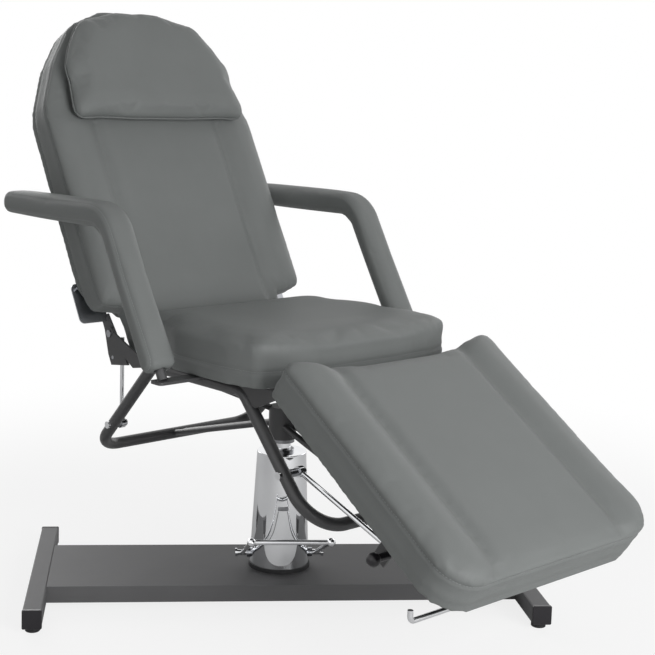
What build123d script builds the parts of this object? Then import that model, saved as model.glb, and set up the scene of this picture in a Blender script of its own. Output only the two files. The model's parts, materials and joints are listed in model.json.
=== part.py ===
"""Hydraulic treatment chair: base, pump, swivelling seat frame, reclining back and lifting leg rest."""
from build123d import *
from math import atan2, cos, hypot, pi, radians, sin, tan
import os

# Frame: +X to the sitter's left, -Y ahead of the chair, +Z up, origin on the floor at the chair's middle.
# A place is written as (across, ahead of the pump axis, height), and at() turns "ahead" into -Y.
ORIGIN_AHEAD = 31.93

# Clearances and overruns
RUN_FIT = 0.05
SOFT_GAP = 0.4
PLATE_GAP = 1.0
OVERRUN = 5.0

# Base: two square cross tubes joined by a folded channel, turned under the chair
BASE_TURN = 36.0
BASE_LENGTH = 1070.0
CROSS_LENGTH = 515.0
CROSS_SIDE = 38.0
CROSS_WALL = 2.0
CROSS_EDGE = 3.0
CHANNEL_WIDTH = 262.0
CHANNEL_DEPTH = 35.0
CHANNEL_WALL = 3.0
CAP_LIP = 0.8
CAP_THICK = 7.0
CAP_PLUG = 14.0
CAP_EDGE = 2.0
PAD_RADIUS = 15.0
PAD_HEIGHT = 12.0
PAD_EDGE = 3.0
FLOOR_BEVEL = 1.0

# Pump: flange, barrel, cover shell, lid, ram
FLANGE_RADIUS = 56.0
FLANGE_THICK = 10.0
BARREL_RADIUS = 38.0
BARREL_TOP = 292.0
BARREL_FLOOR = 14.0
COVER_FOOT_RADIUS = 64.5
COVER_TOP_RADIUS = 53.5
COVER_WALL = 2.0
COVER_TOP = 303.0
GASKET_RADIUS = 67.0
GASKET_BORE = 58.0
GASKET_HEIGHT = 9.0
LID_THICK = 3.0
LID_SPIGOT = 6.0
LID_EDGE = 1.0
GLAND_RADIUS = 27.0
GLAND_RISE = 6.0
RAM_RADIUS = 19.0
BOLT_CIRCLE = 94.0
BOLT_RADIUS = 4.0
BOLT_HEAD_ACROSS = 13.0
BOLT_HEAD_HEIGHT = 5.5
PUMP_BOLTS = 4

# Foot bail of the pump: stub axles, two arms and a bar with ball ends
BAIL_PIVOT_HEIGHT = 77.0
BAIL_REACH = 232.0
BAIL_RISE = 100.0
BAIL_HALF_SPAN = 81.0
BAIL_ROD_RADIUS = 5.0
BAIL_BALL_RADIUS = 9.0
AXLE_RADIUS = 6.0
AXLE_OUTER = 97.0
AXLE_COLLAR = 3.0
AXLE_COLLAR_LENGTH = 5.0
BUSH_RADIUS = 10.0
BUSH_OUTER = 72.0
BUSH_SOCKET = 4.0

# Swivel hub on top of the ram
HUB_RADIUS = 30.0
HUB_BOTTOM = 335.0
HUB_TOP = 405.0
HUB_ROOF = 8.0
COLLAR_RADIUS = 27.0
COLLAR_HEIGHT = 8.0

# Seat frame: bent round tubes
TUBE_RADIUS = 13.0
TUBE_WALL = 2.0
FRAME_HALF = 228.0
RAIL_GAP = 6.0
RAIL_REAR = -165.0
RAIL_FRONT = 134.0
RAIL_STUB = 60.0
RAIL_BEND = 45.0
REAR_FOOT_AHEAD = -372.0
REAR_FOOT_HEIGHT = 270.0
FRONT_FOOT_AHEAD = 345.0
FRONT_FOOT_HEIGHT = 258.0
REAR_BEND = 55.0
FRONT_BEND = 85.0
STRUT_RADIUS = 7.0
SIDE_STRUT_AHEAD = -20.0
SIDE_STRUT_DROP = 13.0
END_STRUT_DROP = 33.0
END_STRUT_APART = 14.0

# Seat cushion on its board
SEAT_TOP = 612.0
SEAT_BOTTOM = 510.0
BOARD_THICK = 12.0
BOARD_INSET = 6.0
TAB_LENGTH = 46.0
TAB_WIDTH = 26.0
TAB_AHEAD = 90.0
SCREW_RADIUS = 3.0
SCREW_HEAD_RADIUS = 6.0
SCREW_HEAD_HEIGHT = 3.0
SCREW_GRIP = 9.0

# Back rest: front face leans back from upright, measured along the face from its foot line
BACK_LEAN = 28.4
BACK_FOOT_REACH = 105.0
BACK_FOOT_DROP = 35.0
BACK_THICK = 82.0
BACK_BOARD = 14.0
BACK_HINGE_AHEAD = -316.0
BACK_HINGE_RISE = 49.0
BACK_RECLINE = 61.6

# Leg rest: top face slopes down from its upper edge
LEG_SLOPE = 34.5
LEG_HEAD_REACH = 41.0
LEG_HEAD_RISE = 82.0
LEG_THICK = 82.0
LEG_BOARD = 14.0
LEG_HINGE_AHEAD = 262.0
LEG_HINGE_RISE = 19.0
LEG_DROP = 10.0

# Sewn channels of the back and leg cushions
CHANNEL_HALF = 175.0
GROOVE_HALF = 12.0
GROOVE_DEPTH = 9.0
CROWN = 9.0

# Outlines as shares of the half width, the length and, for each corner radius, the half width again
SEAT_REAR = -202.0
SEAT_HALF = 294.0
SEAT_LENGTH = 476.0
SEAT_SHARES = [(0.850, 0.0, 0.10), (0.891, 0.189, 0.20), (1.0, 0.378, 0.20), (1.0, 0.740, 0.68),
               (0.939, 0.903, 0.115), (0.442, 1.0, 1.30)]
BACK_START = 12.0
BACK_HALF = 303.0
BACK_LENGTH = 866.0
BACK_SHARES = [(0.700, 0.0, 0.086), (0.733, 0.127, 0.073), (0.990, 0.194, 0.119), (1.0, 0.685, 0.53),
               (0.792, 0.835, 0.66), (0.545, 0.950, 0.33), (0.205, 1.0, 0.40)]
LEG_HALF = 295.0
LEG_LENGTH = 562.0
LEG_SHARES = [(0.440, 0.0587, 1.42), (1.0, 0.0, 0.075), (1.0, 1.0, 0.264)]
PILLOW_START = 548.0
PILLOW_HALF = 256.0
PILLOW_LENGTH = 272.0
PILLOW_SHARES = [(0.350, 0.0, 1.17), (1.0, 0.030, 0.10), (0.914, 0.522, 0.27), (0.617, 0.897, 0.234),
                 (0.242, 1.0, 0.39)]

# Cushion sides as shares of the thickness: height over the board, then how far the ring is drawn in
SIDE_SHARES = [(0.0, 0.074), (0.12, 0.009), (0.50, 0.050), (0.82, 0.009), (0.94, 0.038), (1.0, 0.118)]
CROWN_REACH = 74.0
CROWN_SHARES = [(0.55, 0.38), (1.0, 1.0)]
PILLOW_THICK = 54.0
PILLOW_SIDE_SHARES = [(0.0, 0.33), (0.16, 0.09), (0.44, 0.0), (0.74, 0.11), (0.92, 0.44), (1.0, 1.04)]

# Back hinge: uprights on the seat rails, arms on the back, zinc corner plates
PLATE_THICK = 5.0
HINGE_PIN_RADIUS = 5.0
PIN_HEAD_RADIUS = 8.0
PIN_HEAD_HEIGHT = 3.0
UPRIGHT_OUT = 8.0
UPRIGHT_FRONT = -150.0
UPRIGHT_TURN = -212.0
UPRIGHT_EYE = 14.0
UPRIGHT_FOOT = 14.0
ARM_TOP = 126.0
ARM_TOP_DEPTH = 72.0
ARM_TIP = -4.0
ARM_TIP_DEPTH = 50.0
ARM_HEEL = 18.0
ARM_HEEL_DEPTH = 110.0
ARM_REAR_RISE = 26.0
ARM_EAR = 98.0
ARM_EAR_DEPTH = 98.0
ARM_EAR_TOP = 150.0
NOTCH_INSET = 44.0
NOTCH_TOP = 112.0
CORNER_PLATE_THICK = 3.0
CORNER_PLATE_HEAD = 205.0
CORNER_PLATE_FOOT = 112.0
CORNER_PLATE_INSET = 3.0
CORNER_PLATE_ROUND = 12.0

# Back rod: pivots on the rear hoop, slides in a clamp hung from the near back arm
BACK_ROD_INSET = 22.0
BACK_CLAMP_REACH = 4.0
BACK_CLAMP_DROP = 54.0
BACK_ROD_RADIUS = 4.5
ROD_EYE_RADIUS = 11.0
ROD_EYE_HALF = 6.0
ROD_SHORT = 3.0
ROD_BOLT_RADIUS = 4.0
ROD_BOLT_HEAD = 8.0
ROD_BOLT_HEAD_HEIGHT = 5.0
CLAMP_HALF_WIDTH = 8.0
CLAMP_RIM = 5.0
CLAMP_HALF_LENGTH = 9.0
SLOT_ROOM = 0.9
KNOB_RADIUS = 14.0
KNOB_LENGTH = 20.0
KNOB_LOBES = 6
KNOB_LOBE_RADIUS = 4.0
KNOB_STEM = 4.0
KNOB_EDGE = 2.0

# Leg rod: pivots on the front hoop, slides in a bracket under the leg rest
LEG_ROD_INSET = 40.0
LEG_PIVOT_AHEAD = 262.0
LEG_ROD_SLOPE = 19.5
LEG_ROD_LENGTH = 433.0
LEG_ROD_RADIUS = 5.0
LEG_ROD_BEND = 16.0
LEG_TIP_BEND = 9.0
LEG_ROD_OUT = 118.0
LEG_ROD_TIP = 20.0
LEG_CLAMP_ALONG = 263.0
LEG_BRACKET_THICK = 5.0
LEG_BRACKET_REACH = 18.0
LEG_BRACKET_HALF = 16.0
LEG_BRACKET_TAIL = 16.0
LEG_BALL_RADIUS = 13.5
LEG_BALL_OUT = 13.0
LEG_STUD_RADIUS = 4.0
LEG_STUD_COLLAR = 8.0
LEG_RAIL_INSET = 14.0
LEG_ARM_HEAD = 46.0
LEG_ARM_TAIL = 190.0
LEG_EYE = 8.0
LEG_BRACKET_DROP = 26.0
LEG_RAIL_SIDE = 20.0
LEG_RAIL_END = 500.0

# Arm rests: a padded bar bent down to the side of the seat
ARM_X = 355.0
ARM_PAD_WIDTH = 72.0
ARM_PAD_THICK = 52.0
ARM_PAD_ROUND = 20.0
ARM_PAD_HEIGHT = 822.0
ARM_REAR = -529.0
ARM_KNEE = -145.0
ARM_FOOT_AHEAD = 19.0
ARM_FOOT_RISE = 34.0
ARM_BEND = 75.0
ARM_END_ROUND = 17.0
CORE_RADIUS = 10.0
CORE_START = 60.0
BRACKET_WIDTH = 36.0
BRACKET_TAIL = 40.0
BRACKET_NOSE = 20.0
BRACKET_ROUND = 8.0
OVERALL_HALF = 400.0

HEX_SIDE_COUNT = 6


def at(across, ahead, height):
    """A point of the chair from its distance across, ahead of the pump axis and above the floor."""
    return Vector(across, -ahead, height)


def turned(shape):
    """Turn a piece of the base about the pump axis to its place under the chair."""
    return shape.rotate(Axis.Z, -BASE_TURN)


def save(name, *shapes):
    """Write one piece, or a set of like pieces, to its own file."""
    solids = [Pos(0, ORIGIN_AHEAD, 0) * solid for shape in shapes for solid in shape.solids()]
    body = solids[0] if len(solids) == 1 else Compound(children=solids)
    body.label = name
    export_step(body, "parts/" + name + ".step")
    return body


def rod(start, end, radius):
    """A round bar between two points."""
    start, end = Vector(*start), Vector(*end)
    plane = Plane(origin=start, z_dir=end - start)
    return extrude(plane * Circle(radius), (end - start).length)


def disc(centre_plane, radius, low, high):
    """A round disc on a plane between two heights over it."""
    return extrude(centre_plane.offset(low) * Circle(radius), high - low)


def across_pin(x_from, x_to, ahead, height, radius):
    """A round pin lying across the chair."""
    return rod(at(x_from, ahead, height), at(x_to, ahead, height), radius)


def bent_tube(points, radii, radius, wall=0.0):
    """A round tube, or a bar with no wall given, that follows a bent line."""
    line = FilletPolyline(*points, radius=radii)
    start = Plane(origin=line @ 0, z_dir=line % 0)
    outer = sweep(start * Circle(radius), path=line)
    if wall:
        outer -= sweep(start * Circle(radius - wall), path=line)
    return outer


def mirrored(outline):
    """Corner points and radii round a whole outline from its half."""
    right = [((x, y), r) for x, y, r in outline]
    left = [((-x, y), r) for x, y, r in reversed(outline)]
    return right + left


def outline_of(shares, half, start, length):
    """Corner points and radii of half an outline, from its shares."""
    return [(x * half, start + y * length, r * half) for x, y, r in shares]


def ring(outline, inset, height):
    """An outline drawn at a height and drawn in by an inset, with the same corners."""
    half = max(x for x, y, r in outline)
    low = min(y for x, y, r in outline)
    high = max(y for x, y, r in outline)
    middle = (low + high) / 2
    fx = (half - inset) / half
    fy = (high - middle - inset) / (high - middle)
    corners = mirrored(outline)
    points = [Vector(p[0] * fx, middle + (p[1] - middle) * fy, height) for p, r in corners]
    return Wire(FilletPolyline(*points, radius=[r * min(fx, fy) for p, r in corners], close=True).edges())


def pad(outline, levels):
    """A cushion built up through rings, given as (height, inset)."""
    wires = [ring(outline, inset, height) for height, inset in levels]
    return Solid.make_loft(wires, ruled=True)


def cushion_levels(thick):
    """Heights and insets of a cushion whose rim lies at height zero."""
    sides = [((share - 1) * thick, inset * thick) for share, inset in SIDE_SHARES]
    crown = [(share * CROWN, inset * CROWN_REACH) for share, inset in CROWN_SHARES]
    return sides + crown


def groove(x, low, high):
    """A sewn channel along a cushion, as the wedge that it presses in."""
    top = CROWN + OVERRUN
    bottom = CROWN - GROOVE_DEPTH
    spread = GROOVE_HALF * (top - bottom) / GROOVE_DEPTH
    face = Plane(origin=(x, low, 0), x_dir=(1, 0, 0), z_dir=(0, 1, 0)) * make_face(
        Polyline((-spread, -top), (0, -bottom), (spread, -top), close=True))
    return extrude(face, high - low)


def board(outline, low, thick, inset):
    """A flat board under a cushion."""
    return extrude(make_face(ring(outline, inset, low)), thick)


def hex_prism(plane, across_flats, low, high):
    """A hexagonal bolt head or nut over a plane."""
    return extrude(plane.offset(low) * RegularPolygon(across_flats / 2, HEX_SIDE_COUNT, major_radius=False),
                   high - low)


def plate(points, x, thick):
    """A flat plate standing fore and aft, from (ahead, height) corners, centred on x."""
    base = Plane(origin=(x - thick / 2, 0, 0), x_dir=(0, -1, 0), z_dir=(-1, 0, 0))
    corners = [base.from_local_coords((ahead, height, 0)) for ahead, height in points]
    return extrude(make_face(Polyline(*corners, close=True)), thick, dir=(1, 0, 0))


def eye_plate(points, eye, radius, x, thick):
    """A flat plate that ends in a round eye."""
    body = plate(points, x, thick)
    return body + across_pin(x - thick / 2, x + thick / 2, *eye, radius)


def largest(shape):
    """The main solid of a cut piece."""
    return max(shape.solids(), key=lambda solid: solid.volume)


# Places that follow from the seat and the frame under it
rail_height = SEAT_BOTTOM - RAIL_GAP - TUBE_RADIUS
arm_foot_height = SEAT_BOTTOM + ARM_FOOT_RISE
upright_x = FRAME_HALF + UPRIGHT_OUT
back_arm_x = upright_x - PLATE_THICK - PLATE_GAP
back_rod_x = BACK_ROD_INSET - FRAME_HALF
leg_rod_x = LEG_ROD_INSET - FRAME_HALF
leg_rail_x = FRAME_HALF - LEG_RAIL_INSET
leg_ball_x = -FRAME_HALF - LEG_BALL_OUT
notch_half = FRAME_HALF - NOTCH_INSET

# Local planes of the back and the leg rest
lean = radians(BACK_LEAN)
slope = radians(LEG_SLOPE)
BACK_HINGE = (BACK_HINGE_AHEAD, rail_height + BACK_HINGE_RISE)
LEG_HINGE = (LEG_HINGE_AHEAD, rail_height + LEG_HINGE_RISE)
back_foot = at(0, BACK_HINGE[0] + BACK_FOOT_REACH, BACK_HINGE[1] - BACK_FOOT_DROP)
leg_head = at(0, LEG_HINGE[0] + LEG_HEAD_REACH, LEG_HINGE[1] + LEG_HEAD_RISE)
BACK = Plane(origin=back_foot, x_dir=(1, 0, 0), z_dir=(0, -cos(lean), sin(lean)))
LEG = Plane(origin=leg_head, x_dir=(-1, 0, 0), z_dir=(0, -sin(slope), cos(slope)))


def back_side(along, depth):
    """(ahead, height) of a point beside the back, from its place along and behind the front face."""
    p = BACK.from_local_coords((0, along, -depth))
    return (-p.Y, p.Z)


def leg_side(along, depth):
    """(ahead, height) of a point beside the leg rest, from its place along and under the top face."""
    p = LEG.from_local_coords((0, along, -depth))
    return (-p.Y, p.Z)


def rod_play(hinge, pivot, clamp, low, high, steps=60):
    """Ratio of a rod's swing to its panel's, and how far its line then strays in the clamp."""
    turns, bearings, reaches = [], [], []
    for i in range(steps + 1):
        turn = radians(low + (high - low) * i / steps)
        a, h = clamp[0] - hinge[0], clamp[1] - hinge[1]
        here = (hinge[0] + a * cos(turn) - h * sin(turn), hinge[1] + a * sin(turn) + h * cos(turn))
        turns.append(turn)
        bearings.append(atan2(here[1] - pivot[1], here[0] - pivot[0]))
        reaches.append(hypot(here[1] - pivot[1], here[0] - pivot[0]))
    rest = atan2(clamp[1] - pivot[1], clamp[0] - pivot[0])

    def strays(ratio):
        return [d * sin(b - rest - ratio * t) for t, b, d in zip(turns, bearings, reaches)]

    ratio = min((k / 1000 for k in range(-1600, 1601)), key=lambda r: max(strays(r)) - min(strays(r)))
    ratio = round(ratio, 3)
    return ratio, min(strays(ratio)), max(strays(ratio)), min(reaches), max(reaches)


os.makedirs("parts", exist_ok=True)

# Heights that follow from the base
tube_top = PAD_HEIGHT + CROSS_SIDE
cross_x = BASE_LENGTH / 2 - CROSS_SIDE / 2
channel_half = BASE_LENGTH / 2 - CROSS_SIDE
DECK = Plane(origin=(0, 0, tube_top))


def base_pieces():
    """Cross tubes, channel, caps and floor pads."""
    middle = PAD_HEIGHT + CROSS_SIDE / 2
    outer = Box(CROSS_SIDE, CROSS_LENGTH, CROSS_SIDE)
    outer = fillet(outer.edges().filter_by(Axis.Y), CROSS_EDGE)
    inner = Box(CROSS_SIDE - 2 * CROSS_WALL, CROSS_LENGTH + OVERRUN, CROSS_SIDE - 2 * CROSS_WALL)
    inner = fillet(inner.edges().filter_by(Axis.Y), CROSS_EDGE - CROSS_WALL)
    tube = outer - inner
    for side, name in ((-1, "cross_tube_right"), (1, "cross_tube_left")):
        save(name, turned(Pos(side * cross_x, 0, middle) * tube))

    deck = Box(2 * channel_half, CHANNEL_WIDTH, CHANNEL_WALL, align=(Align.CENTER, Align.CENTER, Align.MAX))
    fold = Box(2 * channel_half, CHANNEL_WALL, CHANNEL_DEPTH, align=(Align.CENTER, Align.CENTER, Align.MAX))
    shell = deck
    for side in (-1, 1):
        shell += Pos(0, side * (CHANNEL_WIDTH - CHANNEL_WALL) / 2, 0) * fold
    for x, y in bolt_places():
        shell -= Pos(x, y, 0) * Cylinder(BOLT_RADIUS + PLATE_GAP / 2, 2 * OVERRUN + CHANNEL_WALL)
    shell = Pos(0, 0, tube_top) * shell
    save("base_channel", turned(shell))

    cap_side = CROSS_SIDE + 2 * CAP_LIP
    head = Box(cap_side, CAP_THICK, cap_side, align=(Align.CENTER, Align.MIN, Align.CENTER))
    head = fillet(head.edges().filter_by(Axis.Y), CROSS_EDGE)
    head = chamfer(head.faces().sort_by(Axis.Y)[-1].edges(), CAP_EDGE / 2)
    plug_side = CROSS_SIDE - 2 * CROSS_WALL - RUN_FIT
    plug = Box(plug_side, CAP_PLUG, plug_side, align=(Align.CENTER, Align.MAX, Align.CENTER))
    plug = fillet(plug.edges().filter_by(Axis.Y), CROSS_EDGE - CROSS_WALL)
    cap = head + plug
    foot = Cylinder(PAD_RADIUS, PAD_HEIGHT, align=(Align.CENTER, Align.CENTER, Align.MIN))
    foot = chamfer(foot.faces().sort_by(Axis.Z)[0].edges(), FLOOR_BEVEL)
    caps, feet = [], []
    for side in (-1, 1):
        for end in (-1, 1):
            flip = Rot(0, 0, 0 if end > 0 else 180)
            caps.append(turned(Pos(side * cross_x, end * CROSS_LENGTH / 2, middle) * flip * cap))
            place = Pos(side * cross_x, end * (CROSS_LENGTH / 2 - PAD_RADIUS - PAD_EDGE), 0)
            feet.append(turned(place * foot))
    save("tube_end_caps", *caps)
    save("floor_pads", *feet)


def bolt_places():
    """Centres of the pump's holding bolts on the deck."""
    step = 2 * pi / PUMP_BOLTS
    radius = BOLT_CIRCLE / 2
    return [(radius * cos(step * (i + 0.5)), radius * sin(step * (i + 0.5))) for i in range(PUMP_BOLTS)]


def pump_pieces():
    """Barrel, bolts, gasket, cover, lid, bushes and the ram."""
    bore = RAM_RADIUS + RUN_FIT
    barrel = disc(DECK, FLANGE_RADIUS, 0, FLANGE_THICK)
    barrel += disc(DECK, BARREL_RADIUS, FLANGE_THICK, BARREL_TOP - tube_top)
    barrel -= disc(DECK, bore, BARREL_FLOOR, BARREL_TOP - tube_top + OVERRUN)
    for x, y in bolt_places():
        barrel -= Pos(x, y, tube_top) * Cylinder(BOLT_RADIUS + PLATE_GAP / 2, 2 * FLANGE_THICK + OVERRUN)
    for side in (-1, 1):
        barrel -= rod((0, 0, BAIL_PIVOT_HEIGHT), (side * (BARREL_RADIUS + OVERRUN), 0, BAIL_PIVOT_HEIGHT),
                      BUSH_RADIUS) & rod((side * (BARREL_RADIUS - BUSH_SOCKET), 0, BAIL_PIVOT_HEIGHT),
                                         (side * (BARREL_RADIUS + OVERRUN), 0, BAIL_PIVOT_HEIGHT),
                                         BUSH_RADIUS + OVERRUN)
    save("pump_barrel", turned(barrel))

    bolts, nuts = [], []
    under = -CHANNEL_WALL
    for x, y in bolt_places():
        plane = Plane(origin=(x, y, tube_top))
        bolt = disc(plane, BOLT_RADIUS, under - BOLT_HEAD_HEIGHT - PLATE_GAP, FLANGE_THICK)
        bolt += hex_prism(plane, BOLT_HEAD_ACROSS, FLANGE_THICK, FLANGE_THICK + BOLT_HEAD_HEIGHT)
        nut = hex_prism(plane, BOLT_HEAD_ACROSS, under - BOLT_HEAD_HEIGHT, under)
        nut -= disc(plane, BOLT_RADIUS, under - BOLT_HEAD_HEIGHT - OVERRUN, OVERRUN)
        bolts.append(turned(bolt))
        nuts.append(turned(nut))
    save("pump_bolts", *bolts)
    save("pump_nuts", *nuts)

    gasket = disc(DECK, GASKET_RADIUS, 0, GASKET_HEIGHT) - disc(DECK, GASKET_BORE, -OVERRUN,
                                                               GASKET_HEIGHT + OVERRUN)
    gasket = fillet(gasket.edges().group_by(Axis.Z)[-1].sort_by(SortBy.LENGTH)[-1], FLOOR_BEVEL)
    save("pump_gasket", gasket)

    foot = tube_top + GASKET_HEIGHT
    outer = Plane(origin=(0, 0, foot)) * Circle(COVER_FOOT_RADIUS)
    top = Plane(origin=(0, 0, COVER_TOP)) * Circle(COVER_TOP_RADIUS)
    inner = Plane(origin=(0, 0, foot)) * Circle(COVER_FOOT_RADIUS - COVER_WALL)
    inner_top = Plane(origin=(0, 0, COVER_TOP)) * Circle(COVER_TOP_RADIUS - COVER_WALL)
    cover = loft([outer, top]) - loft([inner, inner_top])
    window = BUSH_RADIUS + PLATE_GAP
    cover -= rod((-COVER_FOOT_RADIUS - OVERRUN, 0, BAIL_PIVOT_HEIGHT),
                 (COVER_FOOT_RADIUS + OVERRUN, 0, BAIL_PIVOT_HEIGHT), window)
    save("pump_cover", turned(cover))

    roof = Plane(origin=(0, 0, COVER_TOP))
    lid = disc(roof, COVER_TOP_RADIUS, 0, LID_THICK)
    lid += disc(roof, COVER_TOP_RADIUS - COVER_WALL - PLATE_GAP, -LID_SPIGOT, 0)
    lid -= disc(roof, GLAND_RADIUS, -LID_SPIGOT - OVERRUN, LID_THICK + OVERRUN)
    lid = fillet(lid.edges().group_by(Axis.Z)[-1].sort_by(SortBy.LENGTH)[-1], LID_EDGE)
    save("cover_lid", lid)

    gland_top = COVER_TOP + LID_THICK + GLAND_RISE
    seat = Plane(origin=(0, 0, BARREL_TOP))
    gland = disc(seat, GLAND_RADIUS, 0, gland_top - BARREL_TOP)
    gland -= disc(seat, bore, -OVERRUN, gland_top + OVERRUN)
    gland = chamfer(gland.edges().group_by(Axis.Z)[-1].sort_by(SortBy.LENGTH)[-1], LID_EDGE)
    save("ram_gland", gland)

    bushes = []
    for side in (-1, 1):
        inner_x = side * (BARREL_RADIUS - BUSH_SOCKET)
        bush = rod((inner_x, 0, BAIL_PIVOT_HEIGHT), (side * BUSH_OUTER, 0, BAIL_PIVOT_HEIGHT), BUSH_RADIUS)
        bush -= rod((inner_x, 0, BAIL_PIVOT_HEIGHT),
                    (side * (BUSH_OUTER + OVERRUN), 0, BAIL_PIVOT_HEIGHT), AXLE_RADIUS + RUN_FIT)
        bushes.append(turned(bush))
    save("pedal_bushes", *bushes)


def pedal_pieces():
    """Stub axles with their arms, and the bar with ball ends."""
    arms = []
    reach = (0, -BAIL_REACH, BAIL_PIVOT_HEIGHT + BAIL_RISE)
    for side in (-1, 1):
        start = side * (BARREL_RADIUS + PLATE_GAP)
        end = side * AXLE_OUTER
        arm = rod((start, 0, BAIL_PIVOT_HEIGHT), (end, 0, BAIL_PIVOT_HEIGHT), AXLE_RADIUS)
        arm += rod((end - side * AXLE_COLLAR_LENGTH, 0, BAIL_PIVOT_HEIGHT), (end, 0, BAIL_PIVOT_HEIGHT),
                   AXLE_RADIUS + AXLE_COLLAR)
        x = side * BAIL_HALF_SPAN
        stop = 1 - (BAIL_BALL_RADIUS - PLATE_GAP) / hypot(BAIL_REACH, BAIL_RISE)
        arm += rod((x, 0, BAIL_PIVOT_HEIGHT),
                   (x, reach[1] * stop, BAIL_PIVOT_HEIGHT + BAIL_RISE * stop), BAIL_ROD_RADIUS)
        arms.append(arm)
    bar = rod((-BAIL_HALF_SPAN, reach[1], reach[2]), (BAIL_HALF_SPAN, reach[1], reach[2]), BAIL_ROD_RADIUS)
    for side in (-1, 1):
        bar += Pos(side * BAIL_HALF_SPAN, reach[1], reach[2]) * Rot(0, 90, 0) * Sphere(BAIL_BALL_RADIUS)
    save("pedal_arms", *[turned(arm - bar) for arm in arms])
    save("pedal_bar", turned(bar))


def ram_pieces():
    """The lifting ram and the collar that the hub turns on."""
    floor = Plane(origin=(0, 0, 0))
    start = tube_top + BARREL_FLOOR + PLATE_GAP
    end = HUB_TOP - HUB_ROOF - PLATE_GAP
    ram = disc(floor, RAM_RADIUS, start, end)
    ram = chamfer(ram.faces().sort_by(Axis.Z)[-1].edges(), PLATE_GAP)
    save("lift_ram", ram)
    collar = disc(floor, COLLAR_RADIUS, HUB_BOTTOM - COLLAR_HEIGHT, HUB_BOTTOM)
    collar -= disc(floor, RAM_RADIUS, 0, HUB_TOP)
    save("swivel_collar", collar)


REAR_FOOT = (REAR_FOOT_AHEAD, REAR_FOOT_HEIGHT)
FRONT_FOOT = (FRONT_FOOT_AHEAD, FRONT_FOOT_HEIGHT)


def hoop_points(rail_corner, foot, stub):
    """Corner points of a hoop, from one rail joint round the bottom to the other."""
    points = [at(-FRAME_HALF, stub, rail_height), at(-FRAME_HALF, rail_corner, rail_height),
              at(-FRAME_HALF, *foot)]
    return points + [Vector(-p.X, p.Y, p.Z) for p in reversed(points)]


def solid_frame():
    """The seat frame's tubes filled in, for fitting what is welded to them."""
    rear = bent_tube(hoop_points(RAIL_REAR, REAR_FOOT, RAIL_REAR + RAIL_STUB),
                     [RAIL_BEND, REAR_BEND, REAR_BEND, RAIL_BEND], TUBE_RADIUS)
    front = bent_tube(hoop_points(RAIL_FRONT, FRONT_FOOT, RAIL_FRONT - RAIL_STUB),
                      [RAIL_BEND, FRONT_BEND, FRONT_BEND, RAIL_BEND], TUBE_RADIUS)
    rails = [rod(at(side * FRAME_HALF, RAIL_REAR + RAIL_STUB, rail_height),
                 at(side * FRAME_HALF, RAIL_FRONT - RAIL_STUB, rail_height), TUBE_RADIUS) for side in (-1, 1)]
    return rear, front, rails


def frame_pieces():
    """Hoops, rails, struts and the swivel hub."""
    rear, front, rails = solid_frame()
    rear_bore = bent_tube(hoop_points(RAIL_REAR, REAR_FOOT, RAIL_REAR + RAIL_STUB),
                          [RAIL_BEND, REAR_BEND, REAR_BEND, RAIL_BEND], TUBE_RADIUS - TUBE_WALL)
    front_bore = bent_tube(hoop_points(RAIL_FRONT, FRONT_FOOT, RAIL_FRONT - RAIL_STUB),
                           [RAIL_BEND, FRONT_BEND, FRONT_BEND, RAIL_BEND], TUBE_RADIUS - TUBE_WALL)
    back_bolt = across_pin(-FRAME_HALF - 2 * TUBE_RADIUS, -FRAME_HALF + 2 * TUBE_RADIUS, *back_pivot,
                           ROD_BOLT_RADIUS)
    leg_bolt = across_pin(-FRAME_HALF - 2 * TUBE_RADIUS, -FRAME_HALF + 2 * TUBE_RADIUS, *leg_pivot,
                          ROD_BOLT_RADIUS)
    save("frame_rear_hoop", rear - rear_bore - back_bolt)
    save("frame_front_hoop", front - front_bore - leg_bolt)
    for rail, name in zip(rails, ("frame_rail_right", "frame_rail_left")):
        side = -1 if name.endswith("right") else 1
        bore = rod(at(side * FRAME_HALF, RAIL_REAR + RAIL_STUB, rail_height),
                   at(side * FRAME_HALF, RAIL_FRONT - RAIL_STUB, rail_height), TUBE_RADIUS - TUBE_WALL)
        save(name, rail - bore)

    floor = Plane(origin=(0, 0, 0))
    hub_solid = disc(floor, HUB_RADIUS, HUB_BOTTOM, HUB_TOP)
    hub = hub_solid - disc(floor, RAM_RADIUS + RUN_FIT, HUB_BOTTOM - OVERRUN, HUB_TOP - HUB_ROOF)
    save("swivel_hub", hub)

    sides = []
    for side in (-1, 1):
        strut = rod(at(0, SIDE_STRUT_AHEAD, HUB_TOP - SIDE_STRUT_DROP),
                    at(side * FRAME_HALF, SIDE_STRUT_AHEAD, rail_height), STRUT_RADIUS)
        sides.append(strut - hub_solid - rails[0] - rails[1])
    save("hub_side_struts", *sides)
    ends = []
    for foot, tube in ((REAR_FOOT, rear), (FRONT_FOOT, front)):
        for side in (-1, 1):
            spread = side * END_STRUT_APART
            strut = rod(at(spread, 0, HUB_TOP - END_STRUT_DROP), at(spread, *foot), STRUT_RADIUS)
            ends.append(strut - hub_solid - tube)
    save("hub_end_struts", *ends)


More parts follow.
